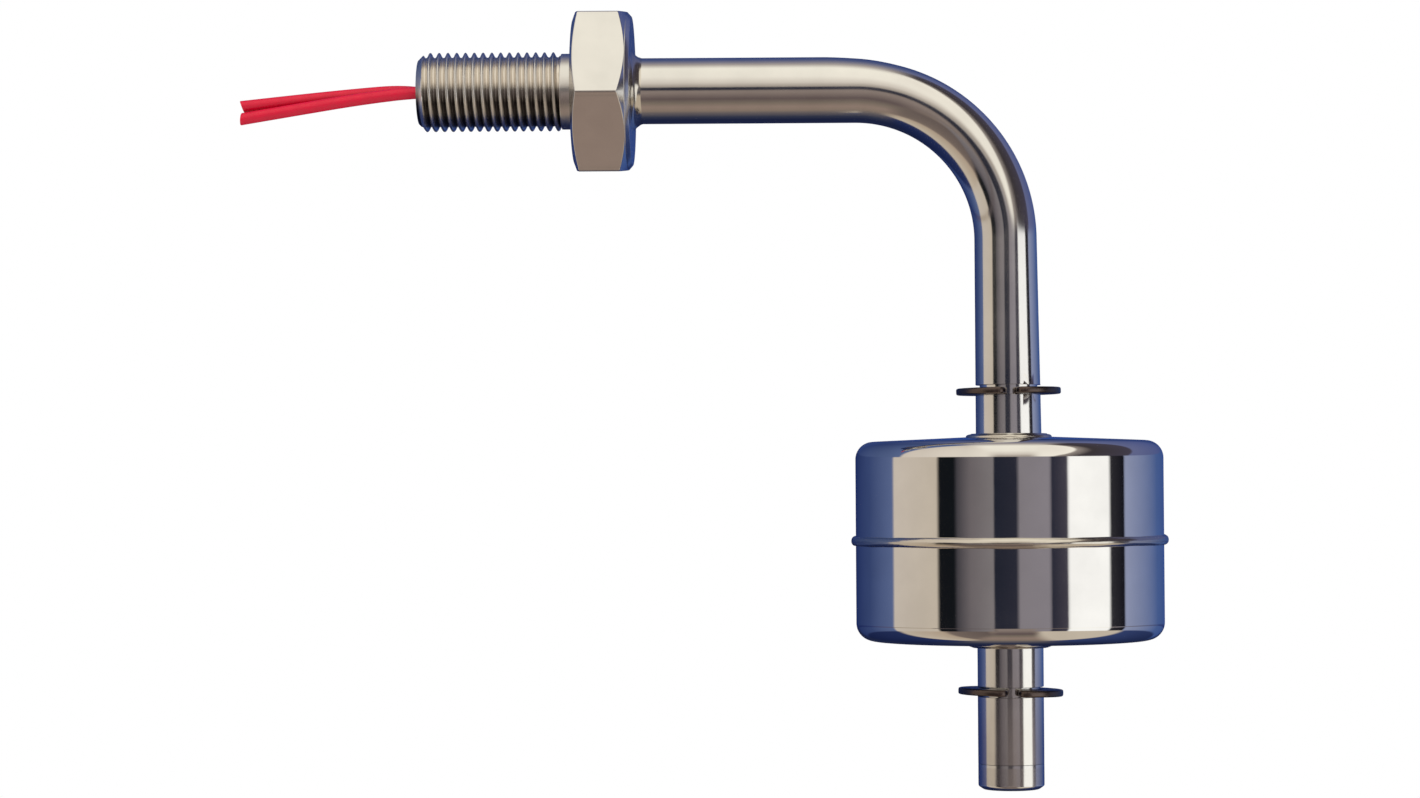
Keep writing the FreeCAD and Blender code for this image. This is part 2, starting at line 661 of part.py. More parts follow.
def reed_sleeve():
    """The thin sleeve shrunk over the glass and the upper splice."""
    body = new_body("reed_sleeve", STEM_X, "-dims.lead_offset", REED_Z)
    section = new_sketch(body, "sleeve_section", "XY_Plane", ("0", "0", f"-{GLASS_END}"))
    circle(section, "dims.glass_dia / 2 + dims.sleeve_gap + dims.sleeve_wall")
    circle(section, "dims.glass_dia / 2 + dims.sleeve_gap")
    pad(body, "sleeve", section, "dims.glass_length + dims.splice_step + dims.splice_length")


def splice(name, across, bottom):
    """A crimped barrel that joins a lead's conductor to a wire of the reed switch."""
    body = new_body(f"{name}_splice", STEM_X, across, f"{REED_Z} + {bottom}")
    section = new_sketch(body, "barrel_section", "XY_Plane")
    circle(section, "dims.splice_dia / 2")
    circle(section, SPLICE_BORE)
    pad(body, "barrel", section, "dims.splice_length")


# Leads and potting

def unit(vector):
    return vector * (1 / vector.Length)


def smooth_route(points, radii):
    """A wire of straight runs joined by tangent arcs, one radius for each inner point."""
    edges = []
    last = points[0]
    for before, corner, after, radius in zip(points, points[1:], points[2:], radii):
        arriving = unit(corner - before)
        leaving = unit(after - corner)
        half_turn = arriving.getAngle(leaving) / 2
        setback = radius * math.tan(half_turn)
        start = corner - arriving * setback
        end = corner + leaving * setback
        inward = unit(leaving - arriving)
        top = corner + inward * (radius / math.cos(half_turn) - radius)
        edges.append(Part.LineSegment(last, start).toShape())
        edges.append(Part.Arc(start, top, end).toShape())
        last = end
    edges.append(Part.LineSegment(last, points[-1]).toShape())
    return Part.Wire(edges)


def free_radius(before, corner, after):
    half_turn = (corner - before).getAngle(after - corner) / 2
    shorter = min((corner - before).Length, (after - corner).Length)
    return ARC_SHARE * shorter / math.tan(half_turn)


def lead_route(name, side, low_end):
    """From a point in the stem up through the bend, along the fitting and out to the cut end."""
    x = size(STEM_X)
    y = side * size("dims.lead_offset")
    tail = [FreeCAD.Vector(*point) for point in LEAD_TAILS[name]]
    points = [FreeCAD.Vector(x, y, low_end), FreeCAD.Vector(x, y, 0)] + tail
    radii = [size("dims.bend_radius")]
    for index in range(2, len(points) - 1):
        radii.append(free_radius(*points[index - 1:index + 2]))
    print(name, "tail radii", [round(radius, 1) for radius in radii[1:]])
    return smooth_route(points, radii)


def swept(route, radius, bore=0):
    """A round section, hollow if asked, swept along a route."""
    start = route.Edges[0].valueAt(route.Edges[0].FirstParameter)
    heading = route.Edges[0].tangentAt(route.Edges[0].FirstParameter)
    rim = Part.Wire(Part.makeCircle(radius, start, heading))
    solid = route.makePipeShell([rim], True, False)
    expected = math.pi * radius ** 2 * route.Length
    if abs(solid.Volume - expected) > 0.01 * expected:
        raise ValueError(f"swept volume {solid.Volume:.2f}, expected {expected:.2f}")
    return solid.cut(swept(route, bore)) if bore else solid


def shaped(label, shape):
    """A sub-part whose shape is set directly."""
    part = doc.addObject("Part::Feature", label)
    part.Label = label
    part.Shape = shape
    part.Placement = FreeCAD.Placement()
    parts.append(part)
    return part


def lead(name, side, low_end):
    """The insulation and the conductor of one lead. The conductor is bare where it enters the splice."""
    route = lead_route(name, side, low_end)
    shaped(f"{name}_insulation", swept(
        route, size("dims.lead_dia / 2"), size(f"{CONDUCTOR_RADIUS} + dims.lead_gap")))
    bare = lead_route(name, side, low_end - size(SPLICE_ENTRY))
    shaped(f"{name}_conductor", swept(bare, size(CONDUCTOR_RADIUS)))
    return route


def lead_potting(routes):
    """The resin that fills the mouth of the shank around both leads."""
    length = size("dims.potting_length")
    mouth = -size("dims.shank_length") + size("dims.potting_recess")
    plug = Part.makeCylinder(
        size("dims.fitting_bore / 2 - dims.lead_gap"), length,
        FreeCAD.Vector(mouth, 0, 0), FreeCAD.Vector(1, 0, 0))
    for route in routes:
        plug = plug.cut(swept(route, size("dims.lead_dia / 2 + dims.lead_gap")))
    shaped("lead_potting", plug)


def leads():
    upper_end = size(f"{REED_Z} + {UPPER_SPLICE_Z} + dims.splice_length")
    lower_end = size(f"{REED_Z} + {LOWER_SPLICE_Z}")
    routes = [lead("lead_a", -1, upper_end), lead("lead_b", 1, lower_end)]
    lead_potting(routes)


hex_fitting()
fitting_weld()
stem_tube()
end_plug()
for ring_name in ("upper", "lower"):
    stop_ring(ring_name)
float_shell("upper")
float_shell("lower", turn="180")
float_seam_weld()
float_guide_tube()
collar_weld("upper")
collar_weld("lower", turn="180")
float_magnet()
magnet_retainer("upper", 1)
magnet_retainer("lower", -1)
reed_glass()
reed_blade("upper", 1)
reed_blade("lower", -1)
reed_sleeve()
splice("upper", "-dims.lead_offset", UPPER_SPLICE_Z)
splice("lower", "dims.lead_offset", f"({LOWER_SPLICE_Z} - dims.splice_length)")
leads()

# Check every object and every shape before anything is written
doc.recompute()
for item in doc.Objects:
    if "Invalid" in item.State or "Error" in item.State:
        raise RuntimeError(f"{item.Label} has failed: {item.State}")
for part in parts:
    if part.Shape.isNull() or not part.Shape.isValid():
        raise RuntimeError(f"{part.Label} has no valid shape")

os.makedirs("parts", exist_ok=True)
for part in parts:
    part.Shape.exportStep(f"parts/{part.Label}.step")
    print(part.Label, len(part.Shape.Solids), "solid", round(part.Shape.Volume, 2), "mm3")
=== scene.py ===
import math

import bmesh
import bpy
from mathutils import Matrix, Vector


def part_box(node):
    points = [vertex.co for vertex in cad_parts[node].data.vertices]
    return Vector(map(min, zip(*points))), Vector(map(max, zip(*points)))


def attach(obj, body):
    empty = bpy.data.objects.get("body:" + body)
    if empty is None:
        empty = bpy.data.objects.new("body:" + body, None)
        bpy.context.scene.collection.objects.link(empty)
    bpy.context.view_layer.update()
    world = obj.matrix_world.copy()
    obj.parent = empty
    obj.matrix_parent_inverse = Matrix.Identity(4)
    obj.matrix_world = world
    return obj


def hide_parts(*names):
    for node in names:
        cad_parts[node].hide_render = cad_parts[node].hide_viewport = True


# Float level switch with a bent stem: the looks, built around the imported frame.
# Shapes are worked out in millimetres in the frame's own axes and stored in metres.

MM = 0.001

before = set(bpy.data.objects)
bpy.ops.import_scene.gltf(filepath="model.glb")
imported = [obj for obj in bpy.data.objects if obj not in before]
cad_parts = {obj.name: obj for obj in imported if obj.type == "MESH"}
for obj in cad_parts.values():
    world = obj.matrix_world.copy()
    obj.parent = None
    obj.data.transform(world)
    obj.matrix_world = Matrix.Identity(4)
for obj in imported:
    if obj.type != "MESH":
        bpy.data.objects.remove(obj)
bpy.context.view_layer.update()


def box(node):
    """The lowest and highest corner of a CAD node, in millimetres."""
    low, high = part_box(node)
    return low / MM, high / MM


# Main sizes, read from the frame

FITTING_LOW, FITTING_HIGH = box("hex_fitting")
PLUG_LOW, PLUG_HIGH = box("end_plug")
UPPER_LOW, UPPER_HIGH = box("float_upper_shell")
GUIDE_LOW, GUIDE_HIGH = box("float_guide_tube")
SEAM_LOW, SEAM_HIGH = box("float_seam_weld")

TIP_X = FITTING_LOW.x
FITTING_END = FITTING_HIGH.x
STEM_X = (PLUG_LOW.x + PLUG_HIGH.x) / 2
STEM_R = (PLUG_HIGH.x - PLUG_LOW.x) / 2
STEM_END = PLUG_LOW.z
SEAM_Z = UPPER_LOW.z
SHELL_R = (UPPER_HIGH.x - UPPER_LOW.x) / 2
SHELL_TOP = UPPER_HIGH.z - SEAM_Z
SEAM_R = (SEAM_HIGH.x - SEAM_LOW.x) / 2
GUIDE_R = (GUIDE_HIGH.x - GUIDE_LOW.x) / 2
GUIDE_TOP = GUIDE_HIGH.z - SEAM_Z
RING_Z = {}
for ring_name in ("upper", "lower"):
    ring_low, ring_high = box(f"{ring_name}_stop_ring")
    RING_Z[ring_name] = (ring_low.z + ring_high.z) / 2

# Finer sizes of the hexagon and its boss

HEX_HALF = 9.525
HEX_LENGTH = 6.5
HEX_TURN = math.radians(6.5)
HEX_FACE_R = 8.7
HEX_ROUND = 0.35
HEX_EDGE = 0.16
HEX_HOLE_INSET = 0.2
SEAT_BEVEL = math.radians(20)
BOSS_BEVEL = math.radians(29)
BOSS_R = 9.5
BOSS_SOFTENING = 0.55

# Finer sizes of the threaded shank and the weld

THREAD_R = 4.7625
THREAD_PITCH = 1.0583
THREAD_DEPTH = 0.62
THREAD_ROOT = THREAD_R - THREAD_DEPTH
THREAD_PHASE = 0.09
THREAD_END = -1.6
RUN_OUT_SLOPE = 4
NECK_START = -1.5
NECK_R = 4.56
SHANK_BORE = 2.75
SHANK_CHAMFER = 0.9
SHANK_LIP = 0.12
SHANK_STEPS = 144
BORE_MIDDLE_X = -7
WELD_LEG = 1.2
WELD_HOLLOW = 1.6
WELD_SINK = 0.05
WELD_STEPS = 12

# Finer sizes of the stem

STEM_OVERLAP = 1
STEM_STEPS = 128
RUN_STEPS = 24
BEND_START = 33.9
BEND_R = 18.25
BEND_STEPS = 72
BEND_FLAT = 0.42
FLAT_FROM = -4.0
FLAT_FULL = 5.0
FLAT_FADE = 26.0
STATION_GAP = 1.5
FILL_FROM = 4
PLUG_LENGTH = 3.1
PLUG_CHAMFER = (0.42, 0.62)

# Finer sizes of the stop rings and their grooves

RING_R = 6.3
RING_THICKNESS = 0.8
RING_GAP = 1.3
RING_END_ROUND = 1.0
RING_EDGE = 0.21
RING_FIT = 0.04
RING_DROP = {"upper": 0.16, "lower": 0.06}
RING_TIP = {"upper": 0.0, "lower": math.radians(-0.9)}
RING_ROLL = {"upper": math.radians(0.6), "lower": math.radians(-1.6)}
GROOVE_DEPTH = 0.5
GROOVE_WIDTH = 1.14
GROOVE_LIP = 0.05

# Finer sizes of the float

SHELL_WALL = 0.35
SHELL_CORNER = 2.1
SHELL_RISE = 0.6
SEAM_WIDTH = 1.2
GUIDE_PLAY = 0.28
GUIDE_EDGE = 0.16
GUIDE_BORE_EDGE = 0.08
GUIDE_GAP = 0.02
COLLAR_LEG = 0.5
COLLAR_HEIGHT = 0.32

# Finer sizes of the leads

LEAD_R = 0.725
LEAD_LIP = 0.05
CONDUCTOR_R = 0.3
CONDUCTOR_GAP = 0.02
STRANDS = 7
STRAND_R = CONDUCTOR_R / 3
STRAND_STEPS = 12

AXIS_X = (Vector((0, 1, 0)), Vector((0, 0, 1)), Vector((1, 0, 0)))
AXIS_Z = (Vector((1, 0, 0)), Vector((0, 1, 0)), Vector((0, 0, 1)))


# Colours, as a screen shows them

def srgb(red, green, blue):
    """A screen colour from 0 to 255 as the linear colour that a shader takes."""
    linear = []
    for channel in (red, green, blue):
        share = channel / 255
        linear.append(share / 12.92 if share <= 0.04045 else ((share + 0.055) / 1.055) ** 2.4)
    return (*linear, 1)


WHITE = (1, 1, 1, 1)
STEEL = srgb(228, 226, 223)
# Painted light and shade for the thread's roots: a light colour on the top side and a near-black one on the
# lower side
GROOVE_PAINTED_LIGHT = srgb(222, 214, 204)
GROOVE_PAINTED_SHADE = srgb(42, 37, 38)
# The heights between which the painted shade in the thread's grooves turns from its dark under colour to its
# light top colour
GROOVE_SHADE_SPAN = (-1.7, 0.8)
# How far below the neck's radius the crests' own colour is full, free of the grooves' painted shade
CREST_INSET = 0.06
# Where nearly all values of a noise lie
NOISE_SPAN = (0.3, 0.7)
CLOUD_SCALE = 0.18
DARK_SHARE = 0.9
DULL_SPREAD = 0.06


# Node trees

def add(tree, kind, inputs=None, **settings):
    """A node with its settings, its input values and its links."""
    node = tree.nodes.new(kind)
    for name, value in settings.items():
        setattr(node, name, value)
    for name, value in (inputs or {}).items():
        if isinstance(value, bpy.types.NodeSocket):
            tree.links.new(value, node.inputs[name])
        else:
            node.inputs[name].default_value = value
    return node


def math_node(tree, operation, first, second=0.0):
    """The result of a sum, product or function of one or two values."""
    return add(tree, "ShaderNodeMath", {0: first, 1: second}, operation=operation).outputs[0]


def remap(tree, value, low, high, to_low=0.0, to_high=1.0, smooth=False):
    """A value carried from one range to another and held between its ends."""
    node = add(tree, "ShaderNodeMapRange", {
        "Value": value, "From Min": low, "From Max": high, "To Min": to_low, "To Max": to_high},
        interpolation_type="SMOOTHSTEP" if smooth else "LINEAR")
    return node.outputs["Result"]


def blend_colour(tree, factor, first, second):
    """The first colour at a factor of 0 and the second at 1."""
    node = add(tree, "ShaderNodeMix", {"Factor": factor}, data_type="RGBA")
    for socket, value in ((node.inputs[6], first), (node.inputs[7], second)):
        if isinstance(value, bpy.types.NodeSocket):
            tree.links.new(value, socket)
        else:
            socket.default_value = value
    return node.outputs[2]


def ramp(tree, factor, stops):
    """A colour ramp through (position, colour) stops."""
    node = add(tree, "ShaderNodeValToRGB", {"Fac": factor})
    elements = node.color_ramp.elements
    while len(elements) < len(stops):
        elements.new(0.5)
    for element, (position, colour) in zip(elements, sorted(stops, key=lambda stop: stop[0])):
        element.position = position
        element.color = colour
    return node.outputs["Color"]


def noise(tree, vector, scale, detail, roughness=0.5):
    """A cloudy value whose clouds are about 1 / scale across."""
    node = add(tree, "ShaderNodeTexNoise", {
        "Vector": vector, "Scale": scale, "Detail": detail, "Roughness": roughness})
    return node.outputs["Fac"]


def stretched(tree, vector, scale):
    """A place multiplied along each axis."""
    return add(tree, "ShaderNodeMapping", {"Vector": vector, "Scale": scale}).outputs["Vector"]


def new_material(name):
    """A material with its node tree and its main shader."""
    material = bpy.data.materials.new(name)
    material.use_nodes = True
    tree = material.node_tree
    return material, tree, tree.nodes["Principled BSDF"]


def place_of(tree, along_run=False):
    """The point of the surface in millimetres, or its place on the unrolled tube."""
    if along_run:
        return add(tree, "ShaderNodeAttribute", attribute_name="run").outputs["Vector"]
    place = add(tree, "ShaderNodeTexCoord").outputs["Object"]
    return stretched(tree, place, (1 / MM, 1 / MM, 1 / MM))


def bump(tree, height, distance):
    """A bump node for a height of 0 to 1, whose full height is given in millimetres."""
    return add(tree, "ShaderNodeBump", {"Height": height, "Distance": distance * MM})


def link_relief(tree, shader, heights):
    """Chains a bump for each (height, millimetres) pair, leaving out those with no height."""
    normal = None
    for height, distance in heights:
        if distance == 0:
            continue
        node = bump(tree, height, distance)
        if normal:
            tree.links.new(normal, node.inputs["Normal"])
        normal = node.outputs["Normal"]
    if normal:
        tree.links.new(normal, shader.inputs["Normal"])


def crest_share(tree, place):
    """The mask of the roots' painted shade: 0 in the thread's roots, 1 near its crests and on the plain ends
    of the shank.
    """
    off_axis = add(tree, "ShaderNodeVectorMath", {0: place, 1: (0, 1, 1)}, operation="MULTIPLY").outputs[0]
    distance = add(tree, "ShaderNodeVectorMath", {0: off_axis}, operation="LENGTH").outputs["Value"]
    return remap(tree, distance, THREAD_ROOT, NECK_R - CREST_INSET)


def painted_groove_shade(tree, place):
    """Painted shade for the thread's roots: light on the side that faces up and dark on the side that faces
    down, as light from above falls.
    """
    height = add(tree, "ShaderNodeSeparateXYZ", {0: place}).outputs["Z"]
    return blend_colour(tree, remap(tree, height, *GROOVE_SHADE_SPAN), GROOVE_PAINTED_SHADE, GROOVE_PAINTED_LIGHT)


def steel(name, colour, roughness, wave=0.0, wave_size=6.0, grain=0.0, grain_scale=(2, 2, 2),
          spread=0.03, along_run=False, paint_groove_shade=False):
    """Stainless steel: a slightly varied colour, uneven gloss, slow waves and a fine directed grain, and on a
    thread, painted shade in its roots.
    """
    material, tree, shader = new_material(name)
    place = place_of(tree, along_run)
    clouds = noise(tree, place, CLOUD_SCALE, 4)
    specks = noise(tree, stretched(tree, place, grain_scale), 1.0, 4, 0.6)
    waves = noise(tree, place, 1 / wave_size, 1)
    dark = tuple(channel * DARK_SHARE for channel in colour[:3]) + (1,)
    tint = blend_colour(tree, remap(tree, clouds, *NOISE_SPAN), dark, colour)
    # Painted shade in the thread's roots, darker on the lower side
    if paint_groove_shade:
        tint = blend_colour(tree, crest_share(tree, place), painted_groove_shade(tree, place), tint)
    gloss = math_node(tree, "ADD", remap(tree, clouds, *NOISE_SPAN, 0, spread),
                      remap(tree, specks, *NOISE_SPAN, roughness - spread / 2, roughness + spread / 2))
    tree.links.new(tint, shader.inputs["Base Color"])
    tree.links.new(gloss, shader.inputs["Roughness"])
    shader.inputs["Metallic"].default_value = 1.0
    link_relief(tree, shader, [(waves, wave), (specks, grain)])
    return material


def dull(name, colour, second, roughness, scale, relief, metallic=0.0, transmission=0.0):
    """A moulded, cast or plain finish: two colours mixed by a noise, uneven gloss and a fine relief."""
    material, tree, shader = new_material(name)
    mottling = noise(tree, place_of(tree), scale, 4)
    gloss = remap(tree, mottling, *NOISE_SPAN, roughness - DULL_SPREAD, roughness + DULL_SPREAD)
    tree.links.new(blend_colour(tree, mottling, colour, second), shader.inputs["Base Color"])
    tree.links.new(gloss, shader.inputs["Roughness"])
    shader.inputs["Metallic"].default_value = metallic
    shader.inputs["Transmission Weight"].default_value = transmission
    link_relief(tree, shader, [(mottling, relief)])
    return material


MATERIALS = {
    "hex": steel("milled_steel", STEEL, 0.17, wave=0.006, wave_size=7, grain=0.0012, grain_scale=(0.4, 3, 3)),
    # The thread's roots get painted light and shade
    "thread": steel("cut_thread_steel", STEEL, 0.24, grain=0.004, grain_scale=(4, 1, 1), paint_groove_shade=True),
    "tube": steel("drawn_tube_steel", STEEL, 0.1, wave=0.01, wave_size=9, grain=0.002,
                  grain_scale=(2.2, 2.2, 0.05), along_run=True),
    "plug": steel("turned_plug_steel", STEEL, 0.13, wave=0.008, wave_size=5, grain=0.003,
                  grain_scale=(1.5, 1.5, 0.1)),
    "float": steel("polished_float_steel", STEEL, 0.035, wave=0.012, wave_size=11, grain=0.0004,
                   grain_scale=(3, 3, 0.6), spread=0.02),
    "guide": steel("guide_tube_steel", STEEL, 0.14, grain=0.002, grain_scale=(2, 2, 0.1)),
    "weld": steel("weld_steel", srgb(214, 208, 198), 0.16, wave=0.03, wave_size=1.6, grain=0.003),
    "ring": steel("spring_ring_steel", srgb(96, 84, 80), 0.27, grain=0.006, grain_scale=(1, 1, 6)),
    "lead": dull("lead_insulation", srgb(214, 4, 50), srgb(190, 0, 42), 0.34, 0.7, 0.012),
    "copper": dull("tinned_conductor", srgb(190, 120, 84), srgb(150, 88, 60), 0.35, 3.0, 0.01, metallic=1.0),
    "potting": dull("potting_resin", srgb(46, 44, 42), srgb(30, 29, 28), 0.5, 1.5, 0.02),
    "glass": dull("reed_glass", srgb(208, 228, 214), srgb(186, 214, 198), 0.12, 1.0, 0.001, transmission=0.8),
    "blade": dull("reed_blade_metal", srgb(196, 194, 186), srgb(168, 166, 160), 0.3, 2.0, 0.004,
                  metallic=1.0),
    "sleeve": dull("shrink_sleeve", srgb(44, 44, 46), srgb(32, 32, 34), 0.55, 2.0, 0.01),
    "splice": dull("splice_brass", srgb(206, 170, 100), srgb(176, 140, 76), 0.3, 2.0, 0.006, metallic=1.0),
    "magnet": dull("magnet_ferrite", srgb(62, 62, 64), srgb(44, 44, 46), 0.6, 2.5, 0.02),
    "retainer": steel("retainer_steel", srgb(190, 188, 184), 0.25, grain=0.004),
}

# CAD nodes that stay, sealed inside the stem, the fitting and the float
KEPT_NODES = {
    "lead_potting": "potting",
    "reed_glass": "glass",
    "upper_reed_blade": "blade",
    "lower_reed_blade": "blade",
    "reed_sleeve": "sleeve",
    "upper_splice": "splice",
    "lower_splice": "splice",
    "float_magnet": "magnet",
    "magnet_retainer_upper": "retainer",
    "magnet_retainer_lower": "retainer",
}
for node_name, finish in KEPT_NODES.items():
    for material_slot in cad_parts[node_name].material_slots:
        material_slot.material = MATERIALS[finish]


# Mesh code

# Points closer than this, in metres, become one
MERGE = 2e-7
# A corner that turns by less than this, in radians, needs no rounding
STRAIGHT = 1e-4
# The most of each side that a rounding may take
SIDE_SHARE = 0.48
# How near a straight's ends its bracing points lie, and from how many times that length it gets them
BRACE_NEAR = 0.04
BRACE_FROM = 20
# How many columns the float's large turned pieces have, and the smaller ones
FLOAT_STEPS = 320
ROUND_STEPS = 160


def show(mesh, name, material, body, nodes, sharp):
    """Puts a finished mesh into the scene as a piece that rides on a body and stands for CAD nodes."""
    mesh.shade_smooth()
    mesh.set_sharp_from_angle(angle=math.radians(sharp))
    mesh.materials.append(MATERIALS[material])
    made = bpy.data.objects.new(name, mesh)
    bpy.context.scene.collection.objects.link(made)
    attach(made, body)
    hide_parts(*nodes)


def faces_between(rings, wrap):
    """Four-sided faces from ring to ring, and from the last one to the first where they wrap."""
    columns = len(rings[0])
    faces = []
    for row in range(len(rings) if wrap else len(rings) - 1):
        following = (row + 1) % len(rings)
        for column in range(columns - 1):
            faces.append((row * columns + column, row * columns + column + 1,
                          following * columns + column + 1, following * columns + column))
    return faces


def piece(name, rings, material, body, nodes, wrap=False, sharp=28, runs=None):
    """A closed mesh over rings of points in millimetres, whose first and last columns meet.

    Rings at the ends of an unwrapped piece shrink to a point or a rim that the caller has closed.
    """
    vertices = [point * MM for ring in rings for point in ring]
    mesh = bpy.data.meshes.new(name)
    mesh.from_pydata(vertices, [], faces_between(rings, wrap))
    if runs:
        values = mesh.attributes.new("run", "FLOAT_VECTOR", "POINT")
        values.data.foreach_set("vector", [number for ring in runs for run in ring for number in run])
    edit = bmesh.new()
    edit.from_mesh(mesh)
    bmesh.ops.remove_doubles(edit, verts=edit.verts, dist=MERGE)
    bmesh.ops.dissolve_degenerate(edit, edges=edit.edges, dist=MERGE)
    bmesh.ops.recalc_face_normals(edit, faces=edit.faces)
    edit.to_mesh(mesh)
    edit.free()
    show(mesh, name, material, body, nodes, sharp)


def angles(count):
    """Angles once round, with the last one again at the start."""
    return [2 * math.pi * (step % count) / count for step in range(count + 1)]


def arc_points(start, centre, turn, steps):
    """Points on the arc from a start round a centre, clockwise where the turn is positive."""
    spoke = start - centre
    points = []
    for step in range(steps + 1):
        angle = -turn * step / steps
        cosine, sine = math.cos(angle), math.sin(angle)
        points.append((centre.x + spoke.x * cosine - spoke.y * sine,
                       centre.y + spoke.x * sine + spoke.y * cosine))
    return points


def rounded(corners, steps=6, closed=True):
    """A path through (x, y, radius) corners, where each radius is cut down to what its sides allow."""
    points = []
    count = len(corners)
    for index, (x, y, radius) in enumerate(corners):
        if radius == 0 or (not closed and index in (0, count - 1)):
            points.append((x, y))
            continue
        corner = Vector((x, y))
        arriving = corner - Vector(corners[index - 1][:2])
        leaving = Vector(corners[(index + 1) % count][:2]) - corner
        turn = arriving.angle_signed(leaving)
        if abs(turn) < STRAIGHT:
            points.append((x, y))
            continue
        setback = min(radius * math.tan(abs(turn) / 2), SIDE_SHARE * arriving.length,
                      SIDE_SHARE * leaving.length)
        start = corner - arriving.normalized() * setback
        side = -1 if turn > 0 else 1
        inward = Vector((-arriving.y, arriving.x)).normalized() * side
        centre = start + inward * (setback / math.tan(abs(turn) / 2))
        points += arc_points(start, centre, turn, steps)
    return points


def braced(points):
    """The path with a point near both ends of each long straight, which keeps smooth shading flat there."""
    path = [points[0]]
    for first, second in zip(points, points[1:]):
        start, end = Vector(first), Vector(second)
        length = (end - start).length
        if length > BRACE_FROM * BRACE_NEAR:
            step = (end - start) * (BRACE_NEAR / length)
            path += [tuple(start + step), tuple(end - step)]
        path.append(second)
    return path


def capped(rings):
    """The rings with one more at each end, shrunk to the middle of its neighbour."""
    caps = []
    for ring in (rings[0], rings[-1]):
        middle = sum(ring[:-1], Vector()) / (len(ring) - 1)
        caps.append([middle.copy() for _ in ring])
    return [caps[0]] + rings + [caps[1]]


def turned(profile, centre, axis, count=192, wobble=None):
    """Rings of a profile of (along, radius) pairs about an axis. wobble may move a pair at an angle."""
    across, up, forward = axis
    rings = []
    for along, radius in profile:
        ring = []
        for angle in angles(count):
            a, r = wobble(along, radius, angle) if wobble else (along, radius)
            ring.append(centre + forward * a + (across * math.cos(angle) + up * math.sin(angle)) * r)
        rings.append(ring)
    return rings


# Hexagon and boss of the fitting

def hex_reach(angle):
    """How far the rounded hexagon reaches at an angle of up to 30 degrees from one of its corners."""
    centre = (HEX_HALF - HEX_ROUND) / math.cos(math.pi / 6)
    inside = HEX_ROUND ** 2 - (centre * math.sin(angle)) ** 2
    flat = HEX_HALF / math.cos(math.pi / 6 - abs(angle))
    if inside <= 0:
        return flat
    return min(flat, centre * math.cos(angle) + math.sqrt(inside))


def hex_profile(reach):
    """The hexagon's section at an angle where it reaches that far, as (along, radius) pairs."""
    seat_side = (reach - HEX_FACE_R) * math.tan(SEAT_BEVEL)
    boss_side = (reach - BOSS_R) * math.tan(BOSS_BEVEL)
    hole = NECK_R - HEX_HOLE_INSET
    return rounded([
        (0, hole, 0),
        (0, HEX_FACE_R, 0.06),
        (seat_side, reach, HEX_EDGE),
        (HEX_LENGTH - boss_side, reach, HEX_EDGE),
        (HEX_LENGTH, BOSS_R, 0.03),
        (HEX_LENGTH + 0.06, BOSS_R, 0.05),
        (FITTING_END, BOSS_R - BOSS_SOFTENING, 0.2),
        (FITTING_END, hole, 0)])


def make_hexagon():
    """The hexagon and its boss, with more columns near the corners. Angles here are in degrees."""
    near_corner = [0.25, 0.5, 0.75, 1.0, 1.5, 2.5, 4, 6, 9, 12, 15, 18, 21, 24, 27]
    offsets = [0] + near_corner + [30] + [-offset for offset in reversed(near_corner)]
    sweep = [(60 * corner + offset % 60, offset) for corner in range(6) for offset in offsets]
    sweep.append(sweep[0])
    across, up, forward = AXIS_X
    columns = []
    for degrees, offset in sweep:
        angle = math.radians(degrees) + HEX_TURN
        outward = across * math.cos(angle) + up * math.sin(angle)
        profile = hex_profile(hex_reach(math.radians(offset)))
        columns.append([forward * along + outward * radius for along, radius in profile])
    rings = [list(ring) for ring in zip(*columns)]
    piece("fitting_hexagon", rings, "hex", "stem", ["hex_fitting"], wrap=True, sharp=24)


# Threaded shank

# The tooth's section over one pitch: (part of the pitch, part of the depth that stands there)
THREAD_SECTION = [(0.0, 1.0), (0.05, 0.98), (0.1, 0.91), (0.16, 0.75), (0.24, 0.47), (0.32, 0.2), (0.4, 0.04),
                  (0.5, 0.0), (0.6, 0.04), (0.68, 0.2), (0.76, 0.47), (0.84, 0.75), (0.9, 0.91), (0.95, 0.98)]


def thread_share(turn_part):
    """How much of the tooth's height stands at a part of a pitch from 0 to 1."""
    section = THREAD_SECTION + [(1.0, 1.0)]
    for (start, low), (end, high) in zip(section, section[1:]):
        if turn_part <= end:
            return low + (high - low) * (turn_part - start) / (end - start)
    return 1.0


def shank_radius(x, angle):
    """The radius of the threaded length, which a chamfer limits at the tip and an undercut at the hexagon."""
    turn_part = ((x - TIP_X) / THREAD_PITCH - THREAD_PHASE - angle / (2 * math.pi)) % 1.0
    tooth = THREAD_ROOT + THREAD_DEPTH * thread_share(turn_part)
    chamfer = THREAD_R - SHANK_CHAMFER + (x - TIP_X)
    run_out = THREAD_ROOT + max(THREAD_END - x, 0) * RUN_OUT_SLOPE
    return min(tooth, chamfer, run_out)


def shank_ring(x_at, radius_at):
    """A ring about the shank's axis, whose place along it and radius may change with the angle."""
    across, up, forward = AXIS_X
    ring = []
    for step in range(SHANK_STEPS + 1):
        angle = 2 * math.pi * step / SHANK_STEPS
        outward = across * math.cos(angle) + up * math.sin(angle)
        ring.append(forward * x_at(angle) + outward * radius_at(angle))
    return ring


def plain_ring(x, radius):
    return shank_ring(lambda angle: x, lambda angle: radius)


def helix_ring(start):
    """A ring that climbs one pitch in a turn, held between the shank's tip and the thread's end."""
    def x_at(angle):
        return min(max(start + THREAD_PITCH * angle / (2 * math.pi), TIP_X), THREAD_END)

    return shank_ring(x_at, lambda angle: shank_radius(x_at(angle), angle))


